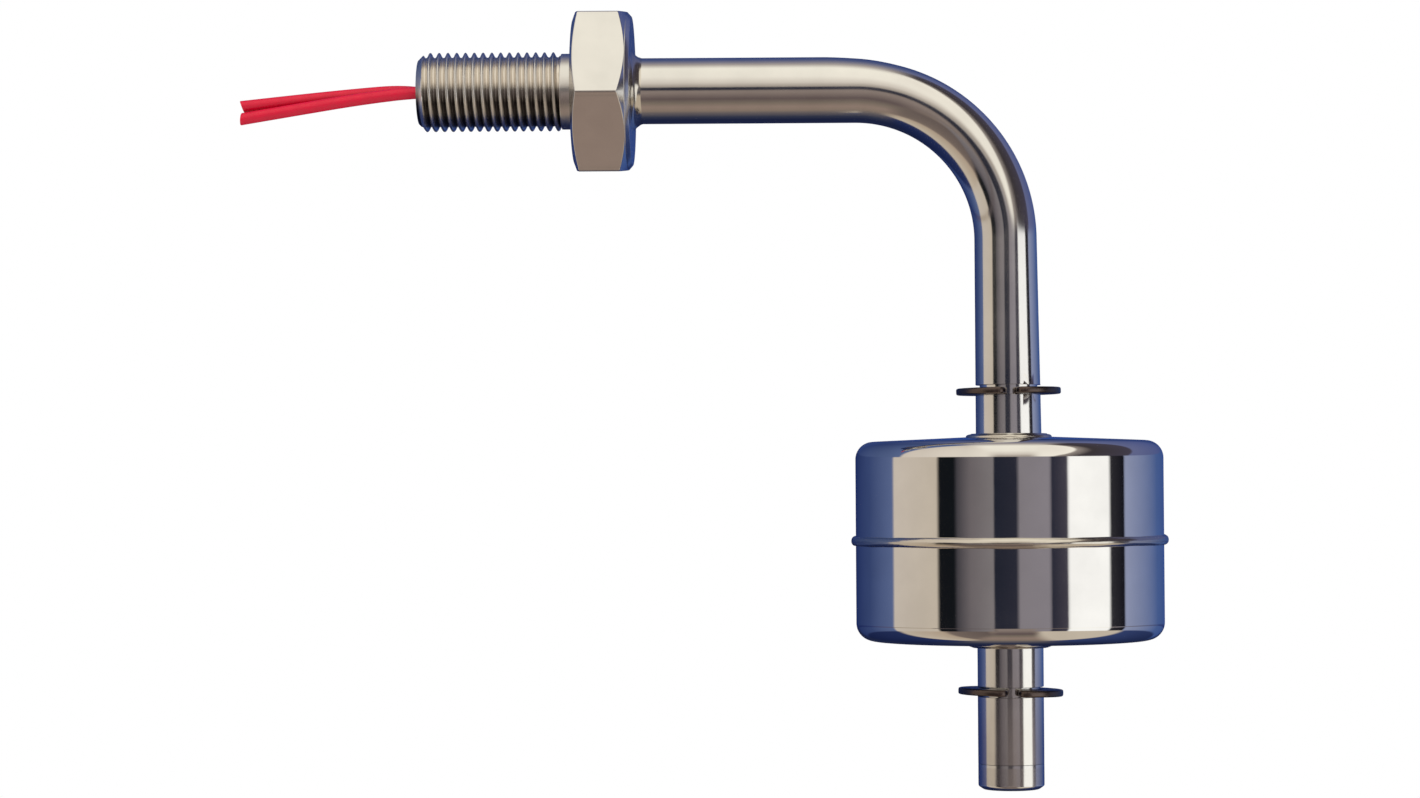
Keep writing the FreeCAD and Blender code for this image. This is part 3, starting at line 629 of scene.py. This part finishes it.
def make_shank():
    """The bore from the hexagon out to the tip, the thread back from the tip, and the plain neck."""
    bore = [(0, SHANK_BORE), (BORE_MIDDLE_X, SHANK_BORE), (TIP_X + SHANK_LIP, SHANK_BORE),
            (TIP_X, SHANK_BORE + SHANK_LIP)]
    neck = rounded([
        (THREAD_END, THREAD_ROOT, 0), (NECK_START, THREAD_ROOT, 0.1), (NECK_START, NECK_R, 0.12),
        (-0.15, NECK_R, 0), (0, NECK_R, 0)], closed=False)
    rings = [plain_ring(x, radius) for x, radius in bore]
    for turn in range(-1, math.ceil((THREAD_END - TIP_X) / THREAD_PITCH) + 1):
        for part, _ in THREAD_SECTION:
            rings.append(helix_ring(TIP_X + (turn + THREAD_PHASE + part) * THREAD_PITCH))
    rings += [plain_ring(x, radius) for x, radius in neck]
    piece("fitting_threaded_shank", rings, "thread", "stem", ["hex_fitting"],
          wrap=True, sharp=40)


def make_fitting_weld():
    """The concave fillet between the boss and the tube, with the slight unevenness of a hand weld."""
    half = math.asin(WELD_LEG / math.sqrt(2) / WELD_HOLLOW)
    middle = math.pi * 1.25
    centre_along = FITTING_END + WELD_LEG - WELD_HOLLOW * math.cos(middle + half)
    centre_radius = STEM_R - WELD_HOLLOW * math.sin(middle + half)
    profile = []
    for step in range(WELD_STEPS + 1):
        angle = middle + half - 2 * half * step / WELD_STEPS
        profile.append((centre_along + WELD_HOLLOW * math.cos(angle),
                        centre_radius + WELD_HOLLOW * math.sin(angle)))
    back, bottom = FITTING_END - WELD_SINK, STEM_R - WELD_SINK
    profile += [(back, STEM_R + WELD_LEG), (back, bottom), (FITTING_END + WELD_LEG, bottom)]

    def wobble(along, radius, angle):
        swell = 0.035 * math.sin(3 * angle + 0.4) + 0.02 * math.sin(7 * angle)
        return along + swell * (along > FITTING_END + 0.3), radius + swell * (radius > STEM_R + 0.1)

    piece("fitting_weld_fillet", turned(profile, Vector(), AXIS_X, wobble=wobble), "weld", "stem",
          ["fitting_weld"], wrap=True, sharp=50)


# Stem tube

def flattening(along, below_bend=0):
    """How deep the bend's outer wall is drawn in, by the distance past the bend's start and below its end."""
    lead_in = min(max((along - FLAT_FROM) / (FLAT_FULL - FLAT_FROM), 0), 1)
    fade = min(max(1 - below_bend / FLAT_FADE, 0), 1)
    return BEND_FLAT * lead_in ** 2 * (3 - 2 * lead_in) * fade


def run_stations():
    """The horizontal run, from inside the fitting to the bend."""
    start = FITTING_END - STEM_OVERLAP
    stations = []
    for step in range(RUN_STEPS + 1):
        x = start + (BEND_START - start) * step / RUN_STEPS
        stations.append((Vector((x, 0, 0)), Vector((1, 0, 0)), flattening(x - BEND_START), STEM_R))
    return stations


def bend_stations():
    """The bend, after the run's last station."""
    centre = Vector((BEND_START, 0, -BEND_R))
    stations = []
    for step in range(1, BEND_STEPS + 1):
        angle = math.pi / 2 * step / BEND_STEPS
        outward = Vector((math.sin(angle), 0, math.cos(angle)))
        travel = Vector((math.cos(angle), 0, -math.sin(angle)))
        stations.append((centre + outward * BEND_R, travel, flattening(BEND_R * angle), STEM_R))
    return stations


def groove_levels():
    """The heights and cut depths down the vertical run: both ring grooves, then the plug's top."""
    levels = []
    for z in (RING_Z["upper"], RING_Z["lower"]):
        top, bottom = z + GROOVE_WIDTH / 2, z - GROOVE_WIDTH / 2
        levels += [(top + GROOVE_LIP, 0), (top, GROOVE_LIP), (top, GROOVE_DEPTH), (bottom, GROOVE_DEPTH),
                   (bottom, GROOVE_LIP), (bottom - GROOVE_LIP, 0)]
    return levels + [(STEM_END + PLUG_LENGTH, 0)]


def drop_stations():
    """The vertical run, with stations filled in where the next level is far below."""
    stations = []
    last_z = -BEND_R
    for z, depth in groove_levels():
        fill = int((last_z - z) / STATION_GAP) if last_z - z > FILL_FROM else 0
        between = [last_z + (z - last_z) * step / fill for step in range(1, fill)]
        for level, cut_depth in [(height, 0) for height in between] + [(z, depth)]:
            flat = flattening(FLAT_FULL, -BEND_R - level) * (cut_depth == 0)
            stations.append((Vector((STEM_X, 0, level)), Vector((0, 0, -1)), flat, STEM_R - cut_depth))
        last_z = z
    return stations


def make_stem():
    """The tube over its stations: centre, direction of travel, depth of the flattening, radius."""
    rings, runs = [], []
    travelled = 0
    last = None
    side = Vector((0, 1, 0))
    for centre, travel, flat, radius in run_stations() + bend_stations() + drop_stations():
        travelled += (centre - last).length if last else 0
        last = centre
        inward = side.cross(travel)
        ring, run = [], []
        for angle in angles(STEM_STEPS):
            in_plane = radius - flat * (math.cos(angle) < 0)
            ring.append(centre + inward * (in_plane * math.cos(angle)) + side * (radius * math.sin(angle)))
            run.append((STEM_R * math.cos(angle), STEM_R * math.sin(angle), travelled))
        rings.append(ring)
        runs.append(run)
    runs = [runs[0]] + runs + [runs[-1]]
    piece("stem_tube_bent", capped(rings), "tube", "stem", ["stem_tube"], runs=runs)


def make_end_plug():
    """The turned cap, with the dressed seam where it is welded to the tube."""
    top = STEM_END + PLUG_LENGTH
    profile = braced(rounded([
        (STEM_END, 0, 0),
        (STEM_END, STEM_R - PLUG_CHAMFER[1], 0.5),
        (STEM_END + PLUG_CHAMFER[0], STEM_R, 0.3),
        (top - 0.4, STEM_R, 0.3),
        (top - 0.05, STEM_R - 0.006, 0),
        (top, 0, 0)], closed=False))
    piece("stem_end_cap", turned(profile, Vector((STEM_X, 0, 0)), AXIS_Z, ROUND_STEPS), "plug", "stem",
          ["end_plug"], sharp=40)


def ring_plan():
    """The ring's plan, open towards the camera: round end, outer edge, other end, inner edge."""
    inside = STEM_R - GROOVE_DEPTH + RING_FIT
    gap = RING_GAP / 2
    end_x = gap + RING_END_ROUND
    end_y = -math.sqrt((RING_R - RING_END_ROUND) ** 2 - end_x ** 2)
    heading = 2 * math.pi + math.atan2(end_y, end_x)
    end_steps = 12
    end = []
    for step in range(end_steps + 1):
        angle = math.pi + (heading - math.pi) * step / end_steps
        end.append((end_x + RING_END_ROUND * math.cos(angle), end_y + RING_END_ROUND * math.sin(angle)))
    steps = 96
    outer_start, inner_start = math.atan2(end_x, -end_y), math.asin(gap / inside)
    outer = [outer_start + (2 * math.pi - 2 * outer_start) * step / steps for step in range(1, steps)]
    inner = [-(inner_start + (2 * math.pi - 2 * inner_start) * step / steps) for step in range(steps + 1)]
    return (end
            + [(RING_R * math.sin(angle), -RING_R * math.cos(angle)) for angle in outer]
            + [(-x, y) for x, y in reversed(end)]
            + [(inside * math.sin(angle), -inside * math.cos(angle)) for angle in inner])


def make_stop_ring(name):
    """The open ring: its plan given a thickness and soft edges, then tipped and rolled in its groove."""
    edit = bmesh.new()
    bottom = [edit.verts.new((x * MM, y * MM, -RING_THICKNESS / 2 * MM)) for x, y in ring_plan()]
    raised = bmesh.ops.extrude_face_region(edit, geom=[edit.faces.new(bottom)])
    moved = [item for item in raised["geom"] if isinstance(item, bmesh.types.BMVert)]
    bmesh.ops.translate(edit, verts=moved, vec=(0, 0, RING_THICKNESS * MM))
    bmesh.ops.recalc_face_normals(edit, faces=edit.faces)
    rims = [edge for edge in edit.edges
            if len(edge.link_faces) == 2 and edge.calc_face_angle() > math.radians(60)]
    bmesh.ops.bevel(edit, geom=rims, offset=RING_EDGE * MM, segments=4, profile=0.5, affect="EDGES",
                    clamp_overlap=True)
    place = Matrix.Translation(Vector((STEM_X, 0, RING_Z[name] - RING_DROP[name])) * MM)
    place = place @ Matrix.Rotation(-RING_ROLL[name], 4, "Y") @ Matrix.Rotation(RING_TIP[name], 4, "X")
    bmesh.ops.transform(edit, matrix=place, verts=edit.verts)
    mesh = bpy.data.meshes.new(f"{name}_snap_ring")
    edit.to_mesh(mesh)
    edit.free()
    show(mesh, f"{name}_snap_ring", "ring", "stem", [f"{name}_stop_ring"], 35)


# Float

FLOAT_CENTRE = Vector((STEM_X, 0, SEAM_Z))


def make_shell(name, side):
    """A drawn cup of the float, open at the seam, with the guide tube's hole in its end."""
    hole = GUIDE_R + GUIDE_GAP
    edge = SHELL_TOP - SHELL_RISE
    inside = SHELL_R - SHELL_WALL
    outer = [(0.0, SHELL_R, 0), (edge, SHELL_R, SHELL_CORNER), (SHELL_TOP, hole, 0)]
    inner = [(SHELL_TOP - SHELL_WALL, hole, 0), (edge - SHELL_WALL, inside, SHELL_CORNER - SHELL_WALL),
             (0.0, inside, 0)]
    profile = [(side * along, radius) for along, radius in braced(rounded(outer + inner, steps=16))]
    piece(f"float_{name}_cup", turned(profile, FLOAT_CENTRE, AXIS_Z, FLOAT_STEPS), "float", "float",
          [f"float_{name}_shell"], wrap=True)


def make_seam():
    """The rolled seam bead around the float's middle, a little uneven along its length."""
    rise = SEAM_R - SHELL_R
    profile = [(-SEAM_WIDTH / 2, SHELL_R - 0.1)]
    for step in range(17):
        angle = math.pi * step / 16
        profile.append((-SEAM_WIDTH / 2 * math.cos(angle), SHELL_R + rise * math.sin(angle) ** 0.8))
    profile.append((SEAM_WIDTH / 2, SHELL_R - 0.1))

    def wobble(along, radius, angle):
        drift = 0.03 * math.sin(2 * angle + 1.1) + 0.02 * math.sin(5 * angle) + 0.008 * math.sin(31 * angle)
        swell = 1 + 0.05 * math.sin(3 * angle + 0.7) + 0.04 * math.sin(11 * angle)
        return along * swell + drift, radius + min(0, drift) * (radius > SHELL_R)

    piece("float_seam_bead", turned(profile, FLOAT_CENTRE, AXIS_Z, FLOAT_STEPS, wobble), "weld",
          "float", ["float_seam_weld"], wrap=True, sharp=60)


def make_guide():
    """The guide tube, whose bore slides on the stem."""
    bore = STEM_R + GUIDE_PLAY
    profile = rounded([
        (-GUIDE_TOP, bore, GUIDE_BORE_EDGE), (-GUIDE_TOP, GUIDE_R, GUIDE_EDGE),
        (GUIDE_TOP, GUIDE_R, GUIDE_EDGE), (GUIDE_TOP, bore, GUIDE_BORE_EDGE)])
    piece("float_guide_sleeve", turned(profile, FLOAT_CENTRE, AXIS_Z, ROUND_STEPS), "guide", "float",
          ["float_guide_tube"], wrap=True, sharp=35)


def make_collar(name, side):
    """The small bead that seals the guide tube into the cup."""
    profile = [(SHELL_TOP - WELD_SINK, GUIDE_R - GUIDE_GAP)]
    for step in range(11):
        angle = math.pi / 2 * step / 10
        profile.append((SHELL_TOP + COLLAR_HEIGHT * math.cos(angle), GUIDE_R + COLLAR_LEG * math.sin(angle)))
    profile.append((SHELL_TOP - WELD_SINK, GUIDE_R + COLLAR_LEG))

    def wobble(along, radius, angle):
        swell = 0.03 * math.sin(4 * angle + side) + 0.02 * math.sin(9 * angle)
        return side * along, radius + swell * (radius > GUIDE_R + 0.1)

    piece(f"float_{name}_collar_bead", turned(profile, FLOAT_CENTRE, AXIS_Z, ROUND_STEPS, wobble), "weld",
          "float", [f"{name}_collar_weld"], wrap=True, sharp=50)


# Leads, from inside the shank's mouth to their cut ends

LEAD_ROUTES = {
    "lead_a": [(-12.9, -1.2, 0.0), (-18.2, -1.2, 0.0), (-25.4, -0.95, -0.8), (-32.8, -0.55, -1.94),
               (-40.15, -0.3, -3.12)],
    "lead_b": [(-12.9, 1.2, 0.0), (-18.2, 1.2, 0.05), (-21.4, 1.12, 0.32), (-25.4, 1.0, 0.02),
               (-32.8, 0.7, -0.72), (-40.15, 0.35, -1.55)],
}
# How far the cut leans along the lead per millimetre downwards, and how far before it the lean starts
CUT_SLANT = {"lead_a": 0.24, "lead_b": -0.24}
LEAN_LENGTH = 1.5


def smooth_path(points):
    """Points read from the NURBS line of a route, in millimetres."""
    curve = bpy.data.curves.new("route", "CURVE")
    curve.dimensions = "3D"
    curve.resolution_u = 24
    spline = curve.splines.new("NURBS")
    spline.points.add(len(points) - 1)
    for control, point in zip(spline.points, points):
        control.co = (*point, 1)
    spline.order_u = 3
    spline.use_endpoint_u = True
    carrier = bpy.data.objects.new("route", curve)
    line = bpy.data.meshes.new_from_object(carrier)
    path = [vertex.co.copy() for vertex in line.vertices]
    bpy.data.objects.remove(carrier)
    bpy.data.curves.remove(curve)
    bpy.data.meshes.remove(line)
    return path


def swept(path, radius, slant, count=48, offset=(0, 0)):
    """Rings along a path. The last stretch leans each ring until it has the slant of the cut."""
    total = sum((b - a).length for a, b in zip(path, path[1:]))
    rings, travelled = [], 0
    for index, point in enumerate(path):
        before, after = path[max(index - 1, 0)], path[min(index + 1, len(path) - 1)]
        travelled += (point - path[index - 1]).length if index else 0
        travel = (after - before).normalized()
        side = Vector((0, 1, 0))
        side = (side - travel * side.dot(travel)).normalized()
        down = travel.cross(side)
        lean = slant * min(max((travelled - total + LEAN_LENGTH) / LEAN_LENGTH, 0), 1)
        ring = []
        for angle in angles(count):
            across = offset[0] + radius * math.cos(angle)
            low = offset[1] + radius * math.sin(angle)
            ring.append(point + side * across + down * low + travel * (lean * low))
        rings.append(ring)
    return rings


def make_strand(name, strand, path, slant):
    """One wire of a lead's conductor: six lie round the last one, and their ends differ a little."""
    turn = 2 * math.pi * strand / (STRANDS - 1)
    spread = 0 if strand == STRANDS - 1 else 2 * STRAND_R
    travel = (path[-1] - path[-2]).normalized()
    short = path[:-1] + [path[-1] - travel * (0.1 + 0.03 * (strand % 3))]
    tube = swept(short, STRAND_R * 0.99, slant, count=STRAND_STEPS,
                 offset=(spread * math.cos(turn), spread * math.sin(turn)))
    piece(f"{name}_strand_{strand + 1}", capped(tube), "copper", "stem",
          [f"{name}_conductor"], sharp=50)


def make_lead(name):
    """The insulation with its bore and cut end, and the strands in it."""
    path = smooth_path(LEAD_ROUTES[name])
    slant = CUT_SLANT[name]
    outer = swept(path, LEAD_R, slant)
    rim = swept(path, LEAD_R - LEAD_LIP, slant)[-1]
    inner = swept(path, CONDUCTOR_R + CONDUCTOR_GAP, slant)
    travel = (path[-1] - path[-2]).normalized()
    outer[-1] = [point - travel * LEAD_LIP for point in outer[-1]]
    rings = outer + [rim] + list(reversed(inner))
    piece(f"{name}_jacket", rings, "lead", "stem", [f"{name}_insulation"], wrap=True, sharp=50)
    for strand in range(STRANDS):
        make_strand(name, strand, path, slant)


make_hexagon()
make_shank()
make_fitting_weld()
make_stem()
make_end_plug()
for ring_name in ("upper", "lower"):
    make_stop_ring(ring_name)
make_shell("upper", 1)
make_shell("lower", -1)
make_seam()
make_guide()
make_collar("upper", 1)
make_collar("lower", -1)
for lead_name in LEAD_ROUTES:
    make_lead(lead_name)


# Camera, at the photograph's distance and height

FOCAL_PIXELS = 3322.5
PHOTO_WIDTH = 1420
CENTRE_PIXEL_X = 808.5
CAMERA_PLACE = (28.0, -400.0, -47.69)
CAMERA_PITCH = math.radians(1.49)
CAMERA_ROLL = math.radians(0.358)
SENSOR = 36

camera_data = bpy.data.cameras.new("camera")
camera_data.sensor_width = SENSOR
camera_data.lens = SENSOR * FOCAL_PIXELS / PHOTO_WIDTH
camera_data.shift_x = (PHOTO_WIDTH / 2 - CENTRE_PIXEL_X) / PHOTO_WIDTH
camera_data.clip_start = 0.01
camera = bpy.data.objects.new("camera", camera_data)
camera.location = Vector(CAMERA_PLACE) * MM
camera.rotation_euler = (math.pi / 2 + CAMERA_PITCH, CAMERA_ROLL, 0)
bpy.context.scene.collection.objects.link(camera)
bpy.context.scene.camera = camera


# Floor: a pale disc below the part, which fades out before it reaches the photograph's frame

FLOOR_Z = -120
FLOOR_R = 330
FLOOR_FADE = (180, 323.4)


def floor_material():
    """A pale matt finish that is clear far out, to glossy rays and from below."""
    material, tree, shader = new_material("pale_floor")
    shader.inputs["Base Color"].default_value = srgb(248, 248, 247)
    shader.inputs["Roughness"].default_value = 0.9
    shader.inputs["Specular IOR Level"].default_value = 0.1
    place = add(tree, "ShaderNodeTexCoord").outputs["Object"]
    distance = add(tree, "ShaderNodeVectorMath", {0: place}, operation="LENGTH").outputs["Value"]
    fade = remap(tree, distance, FLOOR_FADE[0] * MM, FLOOR_FADE[1] * MM, smooth=True)
    glossy = add(tree, "ShaderNodeLightPath").outputs["Is Glossy Ray"]
    from_below = add(tree, "ShaderNodeNewGeometry").outputs["Backfacing"]
    share = math_node(tree, "MAXIMUM", fade, math_node(tree, "MAXIMUM", glossy, from_below))
    clear = add(tree, "ShaderNodeBsdfTransparent")
    mixed = add(tree, "ShaderNodeMixShader", {0: share, 1: shader.outputs[0], 2: clear.outputs[0]})
    tree.links.new(mixed.outputs[0], tree.nodes["Material Output"].inputs["Surface"])
    return material


def make_floor():
    edit = bmesh.new()
    bmesh.ops.create_circle(edit, cap_ends=True, segments=96, radius=FLOOR_R * MM)
    mesh = bpy.data.meshes.new("floor")
    edit.to_mesh(mesh)
    edit.free()
    mesh.materials.append(floor_material())
    floor = bpy.data.objects.new("floor", mesh)
    floor.location = Vector((STEM_X / 2, 0, FLOOR_Z)) * MM
    bpy.context.scene.collection.objects.link(floor)


make_floor()


# Studio: what the metal mirrors. Azimuth 0 is towards the camera and 90 is towards +X.

MIRRORED_SHARE = 0.745
ROOM_LIGHT = 0.8


def mirrored(red, green, blue):
    """The light that the steel, which mirrors only a share of it, shows as a screen colour."""
    return tuple(channel / MIRRORED_SHARE for channel in srgb(red, green, blue)[:3]) + (1,)


# Bands of the studio from left to right: start, end, and the colours that the steel shows at both
HORIZON_BANDS = [
    (-180, -133, (10, 26, 76), (52, 67, 110)),
    (-133, -99.6, (52, 67, 110), (86, 101, 141)),
    (-99.6, -57.8, (193, 183, 172), (189, 178, 163)),
    (-57.8, -43.5, (18, 20, 24), (17, 20, 24)),
    (-43.5, -31, (62, 60, 66), (107, 101, 104)),
    (-31, -14.8, (107, 101, 104), (121, 116, 118)),
    (-14.8, 2.9, (33, 36, 48), (41, 42, 54)),
    (2.9, 27, (127, 122, 128), (130, 125, 132)),
    (27, 40.4, (40, 41, 54), (66, 63, 74)),
    (40.4, 76, (246, 246, 244), (246, 246, 244)),
    (76, 91, (44, 43, 48), (20, 20, 28)),
    (91, 140, (139, 147, 176), (66, 88, 138)),
    (140, 180, (66, 88, 138), (34, 58, 118)),
]
UPPER_BANDS = [
    (-180, -92, (24, 42, 92), (84, 100, 139)),
    (-92, 26, (200, 190, 178), (237, 232, 220)),
    (26, 44, (142, 133, 127), (66, 60, 62)),
    (44, 91, (58, 53, 56), (66, 62, 76)),
    (91, 180, (96, 102, 140), (42, 62, 120)),
]
# How far round each degree of height moves the upper bands, and over which part of a turn that sets in
UPPER_LEAN = 0.75
LEAN_SPAN = (0.5, 0.61)
# From 3 to 6 degrees below the horizon, where the stem's lower end mirrors the studio
SKIRT_BANDS = [
    (-180, -133, (10, 22, 70), (40, 52, 98)),
    (-133, -99.6, (40, 52, 98), (88, 84, 110)),
    (-99.6, -63, (158, 146, 130), (160, 147, 131)),
    (-63, -30, (82, 74, 75), (90, 81, 81)),
    (-30, 27, (90, 81, 81), (122, 111, 106)),
    (27, 40.4, (118, 107, 102), (116, 105, 100)),
    (40.4, 76, (243, 241, 232), (243, 241, 232)),
    (76, 91, (152, 143, 143), (116, 112, 122)),
    (91, 140, (110, 108, 122), (62, 76, 120)),
    (140, 180, (50, 64, 114), (26, 36, 84)),
]
LOWER_BANDS = [
    (-180, -97, (16, 24, 58), (34, 46, 88)),
    (-97, -54, (190, 178, 161), (172, 155, 136)),
    (-54, -18, (114, 101, 94), (98, 87, 83)),
    (-18, 18, (140, 125, 112), (140, 125, 112)),
    (18, 92, (190, 179, 163), (192, 181, 165)),
    (92, 180, (48, 62, 106), (20, 28, 60)),
]
# The belt that a pipe lying across the view mirrors: 0 is towards the camera and 90 overhead
BELT = [
    (-130, (26, 33, 61)), (-111, (47, 52, 72)), (-91, (97, 91, 93)), (-80, (130, 115, 104)),
    (-65, (139, 121, 111)), (-50, (117, 106, 96)), (-35, (92, 80, 79)), (-14, (129, 116, 110)),
    (0, (137, 126, 118)), (8, (158, 149, 140)), (21, (205, 197, 186)), (43, (232, 227, 215)),
    (78, (236, 232, 219)), (96, (164, 156, 152)), (110, (120, 119, 134)), (125, (78, 87, 124)),
    (150, (44, 60, 108)),
]
BELT_HALF = (0.18, 0.36)
BELT_ABOVE = (5, 7.5)
BELT_BELOW = (-5, -7)

# Degrees of height over which one part of the studio gives way to the next
UPPER_EDGE = (5, 8)
SKIRT_TOP = (-2.8, -4.8)
SKIRT_BOTTOM = (-6.6, -5.8)
LOWER_EDGE = (-17, -21)


def band_stops(bands, softness=0.7):
    """Ramp stops for the bands, whose edges are twice the softness wide in degrees."""
    stops = []
    for start, end, first, last in bands:
        stops.append(((start + 180 + softness) / 360, mirrored(*first)))
        stops.append(((end + 180 - softness) / 360, mirrored(*last)))
    return stops


def banded(tree, azimuth, elevation):
    """The studio's bands all round: at the horizon, above it, in the skirt below it, and lower down."""
    lean = math_node(tree, "MULTIPLY", remap(tree, azimuth, *LEAN_SPAN, 0, UPPER_LEAN / 360), elevation)
    middle = ramp(tree, azimuth, band_stops(HORIZON_BANDS))
    upper = ramp(tree, math_node(tree, "SUBTRACT", azimuth, lean), band_stops(UPPER_BANDS, 1.5))
    skirt = ramp(tree, azimuth, band_stops(SKIRT_BANDS, 1.5))
    lower = ramp(tree, azimuth, band_stops(LOWER_BANDS, 3))
    in_skirt = math_node(tree, "MULTIPLY", remap(tree, elevation, *SKIRT_TOP, smooth=True),
                         remap(tree, elevation, *SKIRT_BOTTOM, smooth=True))
    colour = blend_colour(tree, remap(tree, elevation, *UPPER_EDGE, smooth=True), middle, upper)
    colour = blend_colour(tree, in_skirt, colour, skirt)
    return blend_colour(tree, remap(tree, elevation, *LOWER_EDGE, smooth=True), colour, lower)


def belted(tree, colour, parts, front, elevation):
    """The studio with the belt over it, away from the horizon."""
    tumble = remap(tree, math_node(tree, "ARCTAN2", parts["Z"], front), -math.pi, math.pi)
    belt = ramp(tree, tumble, [((angle + 180) / 360, mirrored(*shade)) for angle, shade in BELT])
    beside = remap(tree, math_node(tree, "ABSOLUTE", parts["X"]), *BELT_HALF, 1, 0, smooth=True)
    off_horizon = math_node(tree, "MAXIMUM", remap(tree, elevation, *BELT_ABOVE, smooth=True),
                            remap(tree, elevation, *BELT_BELOW, smooth=True))
    return blend_colour(tree, math_node(tree, "MULTIPLY", beside, off_horizon), colour, belt)


def make_world():
    """Glossy rays see the studio, the camera and glass see white, and the rest a plain room."""
    world = bpy.data.worlds.new("studio")
    world.use_nodes = True
    bpy.context.scene.world = world
    world.cycles.sampling_method = "NONE"
    tree = world.node_tree
    direction = add(tree, "ShaderNodeTexCoord").outputs["Generated"]
    parts = add(tree, "ShaderNodeSeparateXYZ", {0: direction}).outputs
    front = math_node(tree, "MULTIPLY", parts["Y"], -1.0)
    azimuth = remap(tree, math_node(tree, "ARCTAN2", parts["X"], front), -math.pi, math.pi)
    elevation = math_node(tree, "MULTIPLY", math_node(tree, "ARCSINE", parts["Z"]), 180 / math.pi)
    colour = belted(tree, banded(tree, azimuth, elevation), parts, front, elevation)
    path = add(tree, "ShaderNodeLightPath").outputs
    seen = math_node(tree, "MAXIMUM", path["Is Camera Ray"], path["Is Transmission Ray"])
    room = (ROOM_LIGHT, ROOM_LIGHT, ROOM_LIGHT, 1)
    colour = blend_colour(tree, path["Is Glossy Ray"], room, colour)
    colour = blend_colour(tree, seen, colour, WHITE)
    tree.links.new(colour, tree.nodes["Background"].inputs["Color"])


make_world()


# One large soft lamp above and in front, for the leads and the floor's shadow, in metres and watts.
# The metal mirrors the studio instead.

LAMP_SIZE = 0.5
LAMP_POWER = 3.2
LAMP_PLACE = (-0.25, -0.45, 0.6)
LAMP_TARGET_Z = -0.04


def make_lamp():
    data = bpy.data.lights.new("soft_key", "AREA")
    data.shape = "DISK"
    data.size = LAMP_SIZE
    data.energy = LAMP_POWER
    lamp = bpy.data.objects.new("soft_key", data)
    lamp.location = LAMP_PLACE
    target = Vector((STEM_X / 2 * MM, 0, LAMP_TARGET_Z))
    lamp.rotation_euler = (target - lamp.location).to_track_quat("-Z", "Y").to_euler()
    lamp.visible_glossy = False
    bpy.context.scene.collection.objects.link(lamp)


make_lamp()

bpy.context.scene.view_settings.view_transform = "Standard"
